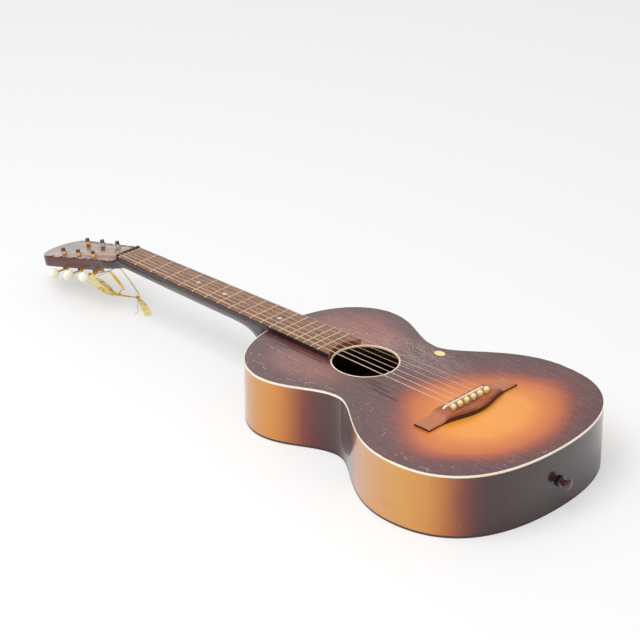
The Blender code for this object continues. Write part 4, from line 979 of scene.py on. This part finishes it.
def drawn(name, knots, closed, side=1):
    """Bezier curve through the knots, flat at height 0."""
    obj = added(bpy.ops.curve.primitive_bezier_curve_add, radius=1, location=(0, 0, 0))
    obj.name = name
    obj.data.dimensions = "2D"
    obj.data.resolution_u = 24
    spline = obj.data.splines[0]
    spline.bezier_points.add(len(knots) - 2)
    spline.use_cyclic_u = closed
    for point, (x, y, before, after) in zip(spline.bezier_points, knots):
        point.handle_left_type = point.handle_right_type = "FREE"
        point.co = (x, side * y, 0)
        point.handle_left = (x + before[0], side * (y + before[1]), 0)
        point.handle_right = (x + after[0], side * (y + after[1]), 0)
    return obj


def made_mesh(obj):
    only(obj)
    bpy.ops.object.convert(target="MESH")
    return bpy.context.object


def prism(name, low, high, inset=0.0):
    """Solid body shape between two heights, drawn in from the outline by an inset."""
    obj = drawn(name, closed_knots(), True)
    obj.data.fill_mode = "BOTH"
    obj.data.extrude = (high - low) / 2
    obj.data.offset = -inset
    obj.location.z = (high + low) / 2
    obj = made_mesh(obj)
    edited(obj, weld, face_out)
    return settled(obj)


def through_prism(name):
    """The shape inside the binding, tall enough to cut right through the top."""
    return prism(name, face - 1.5 * cut_reach, face + 1.5 * cut_reach, binding_width)


def outline_tree():
    wire = made_mesh(drawn("outline", closed_knots(), True))
    tree = KDTree(len(wire.data.vertices))
    for i, vertex in enumerate(wire.data.vertices):
        tree.insert((vertex.co.x, vertex.co.y, 0), i)
    tree.balance()
    bpy.data.objects.remove(wire)
    return tree


def measure_edge(obj):
    """Keeps each vertex's distance from the body's outline, for the finishes."""
    tree = outline_tree()
    edge = obj.data.attributes.new("edge_distance", "FLOAT", "POINT")
    for vertex, value in zip(obj.data.vertices, edge.data):
        value.value = tree.find((vertex.co.x, vertex.co.y, 0))[2]


def cut(obj, cutter, operation="DIFFERENCE"):
    modified(obj, "BOOLEAN", operation=operation, object=cutter)
    bpy.data.objects.remove(cutter)
    return obj


def round_at_hole(radius, low, high):
    """Upright cylinder on the sound hole's axis."""
    return added(
        bpy.ops.mesh.primitive_cylinder_add,
        vertices=96,
        radius=radius,
        depth=high - low,
        location=(hole.x, 0, (high + low) / 2),
    )


def make_top():
    """A finely divided plate, so that the edge distance can be kept at its vertices."""
    length, width = body_end - body_start, 2 * lower_half
    middle = ((body_start + body_end) / 2, 0, face)
    grid = {"x_subdivisions": 90, "y_subdivisions": 64, "size": 1, "location": middle}
    obj = added(bpy.ops.mesh.primitive_grid_add, **grid)
    obj.scale = (length * 1.05, width * 1.05, 1)
    settled(obj)
    modified(obj, "SOLIDIFY", thickness=top_thickness, offset=-1)
    cut(obj, through_prism("top_shape"), "INTERSECT")
    cut(obj, round_at_hole(ring_radius, face - cut_reach, face + cut_reach))
    finished(obj, "top_plate", "sunburst_top", "soundboard")
    measure_edge(obj)


def make_binding():
    obj = prism("binding", face - binding_height, face)
    cut(obj, through_prism("binding_inside"))
    softened(obj, 0.35 * MM, 3)
    finished(obj, "edge_binding", "cream_binding", "top_binding")
    measure_edge(obj)


def make_back():
    obj = prism("back", 0.0, back_thickness)
    softened(obj, 1.0 * MM, 3)
    finished(obj, "back_plate", "sunburst_side", "back", finish="sunburst_back")


def make_ribs():
    low, high = back_thickness, face - binding_height
    for node, side in (("rib_treble", 1), ("rib_bass", -1)):
        obj = drawn(node, half_knots(), False, side)
        obj.data.extrude = (high - low) / 2
        obj.location.z = (high + low) / 2
        obj = made_mesh(obj)
        edited(obj, weld)
        modified(obj, "SOLIDIFY", thickness=rib_thickness, offset=-side)
        edited(obj, face_out)
        finished(obj, node + "_bent", "sunburst_side", node)


def make_hole_ring():
    obj = round_at_hole(ring_radius, face - ring_height, face + 0.1 * MM)
    inner = ring_radius - ring_width + 0.5 * MM
    cut(obj, round_at_hole(inner, face - cut_reach, face + cut_reach))
    softened(obj, 0.5 * MM, 2)
    finished(obj, "hole_ring", "cream_binding", "sound_hole_ring", finish="hole_ring_cream")


make_top()
make_binding()
make_back()
make_ribs()
make_hole_ring()


# Neck, fretboard and frets


def fret_x(number):
    return nut_x + scale_length * (1 - 2 ** (-number / 12))


def board_half(x):
    return nut_half + (joint_half - nut_half) * (x - nut_x) / (fret_x(12) - nut_x)


def make_fretboard():
    start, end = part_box("fretboard")[0].x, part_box("fretboard")[1].x
    middle = ((start + end) / 2, 0, (board_low + board_top) / 2)
    obj = added(bpy.ops.mesh.primitive_cube_add, size=1, location=middle)
    obj.scale = (end - start, 1, board_top - board_low)
    settled(obj)
    for vertex in obj.data.vertices:
        vertex.co.y = math.copysign(board_half(vertex.co.x), vertex.co.y)
    scoop_radius = ring_radius + scoop_clearance
    cut(obj, round_at_hole(scoop_radius, face - cut_reach, face + 1.5 * cut_reach))
    softened(obj, 0.4 * MM, 2)
    finished(obj, "board", "rosewood", "fretboard", finish="fretboard_wood")


def make_frets():
    frets = []
    for number in range(last_fret + 1):
        half = board_half(fret_x(number)) + 0.1 * MM
        fret = added(
            bpy.ops.mesh.primitive_cylinder_add,
            vertices=20,
            radius=fret_half_width,
            depth=2 * half,
            location=(fret_x(number), 0, board_top - 0.1 * MM),
            rotation=(math.pi / 2, 0, 0),
        )
        frets.append(fret)
    obj = joined(frets)
    softened(obj, 0.25 * MM, 2, angle_limit=1.0)
    finished(obj, "frets", "steel_string", "fretboard", finish="fret_metal")


def rounded_section(s, half, low, power):
    """Lower half of a rounded section under the headstock, in the headstock's own frame."""
    count, top = 16, -4.5 * MM
    ring = []
    for i in range(count + 1):
        turn = math.pi * i / count
        y = half * math.copysign(abs(math.cos(turn)) ** (2 / power), math.cos(turn))
        ring.append((-s * MM, y * MM, top + (low * MM - top) * math.sin(turn) ** (2 / power)))
    return ring


def make_throat():
    """Filling between the headstock's shoulders and the neck's round."""
    sections = [
        rounded_section(*section)
        for section in (
            (-5, 20.6, -20.0, 2.1),
            (3, 21.2, -19.0, 2.2),
            (8.6, 22.4, -18.0, 2.4),
            (11, 28.0, -17.4, 2.6),
            (15, 31.6, -16.6, 2.9),
            (21, 33.4, -15.8, 3.4),
            (29, 34.0, -15.2, 4.2),
            (37, 34.2, -14.8, 5.0),
            (45, 34.2, -14.4, 5.0),
        )
    ]
    shape = bmesh.new()
    rings = [[shape.verts.new(corner) for corner in section] for section in sections]
    obj = skinned("throat", shape, rings)
    obj.data.transform(head_frame)
    return obj


def make_neck():
    """The CAD neck, a little deeper between nut and heel, with its throat."""
    obj = copied("neck")
    edited(obj, weld)
    for vertex in obj.data.vertices:
        along = (vertex.co.x - nut_x) / (body_start - nut_x)
        deep = (face - neck_upper_part - vertex.co.z) / (12 * MM)
        if 0.1 < along < 0.95 and deep > 0:
            vertex.co.z -= neck_deepening * math.sin(math.pi * along) * min(deep, 1)
    cut(obj, make_throat(), "UNION")
    finished(obj, "neck_refined", "dark_lacquer", "neck", angle=40)


make_fretboard()
make_frets()
make_neck()
refined("nut", "black_nut", 0.3 * MM)
for number in (5, 7, 12):
    refined(f"fret_marker_{number}", "ivoroid")

# Bridge
refined("bridge", "rosewood", angle=24, finish="bridge_wood")
refined("saddle", "bone", 0.4 * MM)
for number in range(1, 7):
    refined(f"bridge_pin_{number}", "ivoroid", angle=50, finish="pin_celluloid")

# Strings
for note in ("low_e", "a", "d", "g"):
    refined(f"string_{note}", "bronze_string", angle=60)
for note in ("b", "high_e"):
    refined(f"string_{note}", "steel_string", angle=60)


# Tuners


def make_winding(number, slot, wire):
    """Closely laid turns of the string at the foot of its post."""
    centre = head_frame.inverted() @ middle_of(f"string_post_{number}")
    turns = []
    for turn in range(math.floor(winding_height / wire)):
        ring = added(
            bpy.ops.mesh.primitive_torus_add,
            major_radius=post_radius + 0.2 * wire,
            minor_radius=wire / 2,
            major_segments=28,
            minor_segments=8,
            location=(centre.x, centre.y, 0.5 * MM + wire * (turn + 0.5)),
        )
        turns.append(ring)
    obj = joined(turns)
    obj.matrix_world = head_frame
    finished(obj, f"string_winding_{number}", slot, angle=60)


for number, slot, wire in (
    (1, "bronze_string", 0.9 * MM),
    (2, "bronze_string", 0.8 * MM),
    (3, "bronze_string", 0.7 * MM),
    (4, "bronze_string", 0.6 * MM),
    (5, "steel_string", 0.5 * MM),
    (6, "steel_string", 0.45 * MM),
):
    make_winding(number, slot, wire)
for side in ("bass", "treble"):
    refined(f"tuner_plate_{side}", "brass")
for number in range(1, 7):
    refined(f"worm_shaft_{number}", "brass")
    refined(f"string_post_{number}", "dark_steel")
    refined(f"tuner_button_{number}", "ivoroid", angle=60)

# Tail
refined("end_pin", "end_pin", angle=40)

# Inside the body
inner = ["neck_block", "tail_block"]
inner += [f"{plate}_lining_{side}" for plate in ("top", "back") for side in ("bass", "treble")]
inner += [f"{place}_top_brace" for place in ("upper", "waist", "lower")]
inner += ["upper_back_brace", "lower_back_brace", "bridge_plate"]
# These pieces take the wood finish with painted shade.
for node in inner:
    refined(node, "raw_wood")


# Table and light


def make_table():
    finish = Finish("table", (246, 246, 246), 0.6)
    ray = finish.node("ShaderNodeLightPath", output="Is Camera Ray")
    glow = finish.node("ShaderNodeEmission", sockets={"Color": (1, 1, 1, 1), "Strength": 1.0})
    lit = Wire(finish, finish.shader.outputs[0])
    shown = finish.node("ShaderNodeMixShader", sockets={0: ray * 0.45, 1: lit, 2: glow})
    out = finish.tree.nodes["Material Output"]
    finish.tree.links.new(shown.socket, out.inputs["Surface"])
    table = added(bpy.ops.mesh.primitive_plane_add, size=30, location=(0, 0, -0.2 * MM))
    table.name = "table"
    table.data.materials.append(finish.material)


def lamp(name, place, target, size, power):
    data = bpy.data.lights.new(name, "AREA")
    data.shape = "RECTANGLE"
    data.size, data.size_y = size
    data.energy = power
    obj = linked(name, data)
    obj.location = place
    aim = Vector(target) - Vector(place)
    obj.rotation_euler = aim.to_track_quat("-Z", "Y").to_euler()


def make_room():
    """White room, level where the camera sees it, and in gloss paler away from the tail."""
    world = bpy.data.worlds.new("room")
    bpy.context.scene.world = world
    world.use_nodes = True
    tree = world.node_tree
    link = tree.links.new
    path = tree.nodes.new("ShaderNodeLightPath")
    aim = tree.nodes.new("ShaderNodeTexCoord")
    parts = tree.nodes.new("ShaderNodeSeparateXYZ")
    link(aim.outputs["Generated"], parts.inputs[0])
    wall = tree.nodes.new("ShaderNodeMapRange")
    wall.interpolation_type = "SMOOTHSTEP"
    limits = {"From Min": -0.46, "From Max": -0.68, "To Min": 0.45, "To Max": 1.15}
    for name, value in limits.items():
        wall.inputs[name].default_value = value
    link(parts.outputs["X"], wall.inputs["Value"])
    in_gloss = tree.nodes.new("ShaderNodeMix")
    in_gloss.inputs[2].default_value = room_light
    link(path.outputs["Is Glossy Ray"], in_gloss.inputs[0])
    link(wall.outputs[0], in_gloss.inputs[3])
    seen = tree.nodes.new("ShaderNodeMix")
    seen.inputs[3].default_value = 1.0
    link(path.outputs["Is Camera Ray"], seen.inputs[0])
    link(in_gloss.outputs[0], seen.inputs[2])
    light = tree.nodes["Background"]
    light.inputs["Color"].default_value = (1, 1, 1, 1)
    link(seen.outputs[0], light.inputs["Strength"])


make_table()
lamp("window", (-0.1, -1.1, 2.5), (0.1, 0, 0), (2.0, 2.0), 47)
lamp("fill", (1.8, -1.8, 1.6), (0.1, 0, 0), (1.6, 1.6), 3)
make_room()
bpy.context.scene.view_settings.view_transform = "Standard"
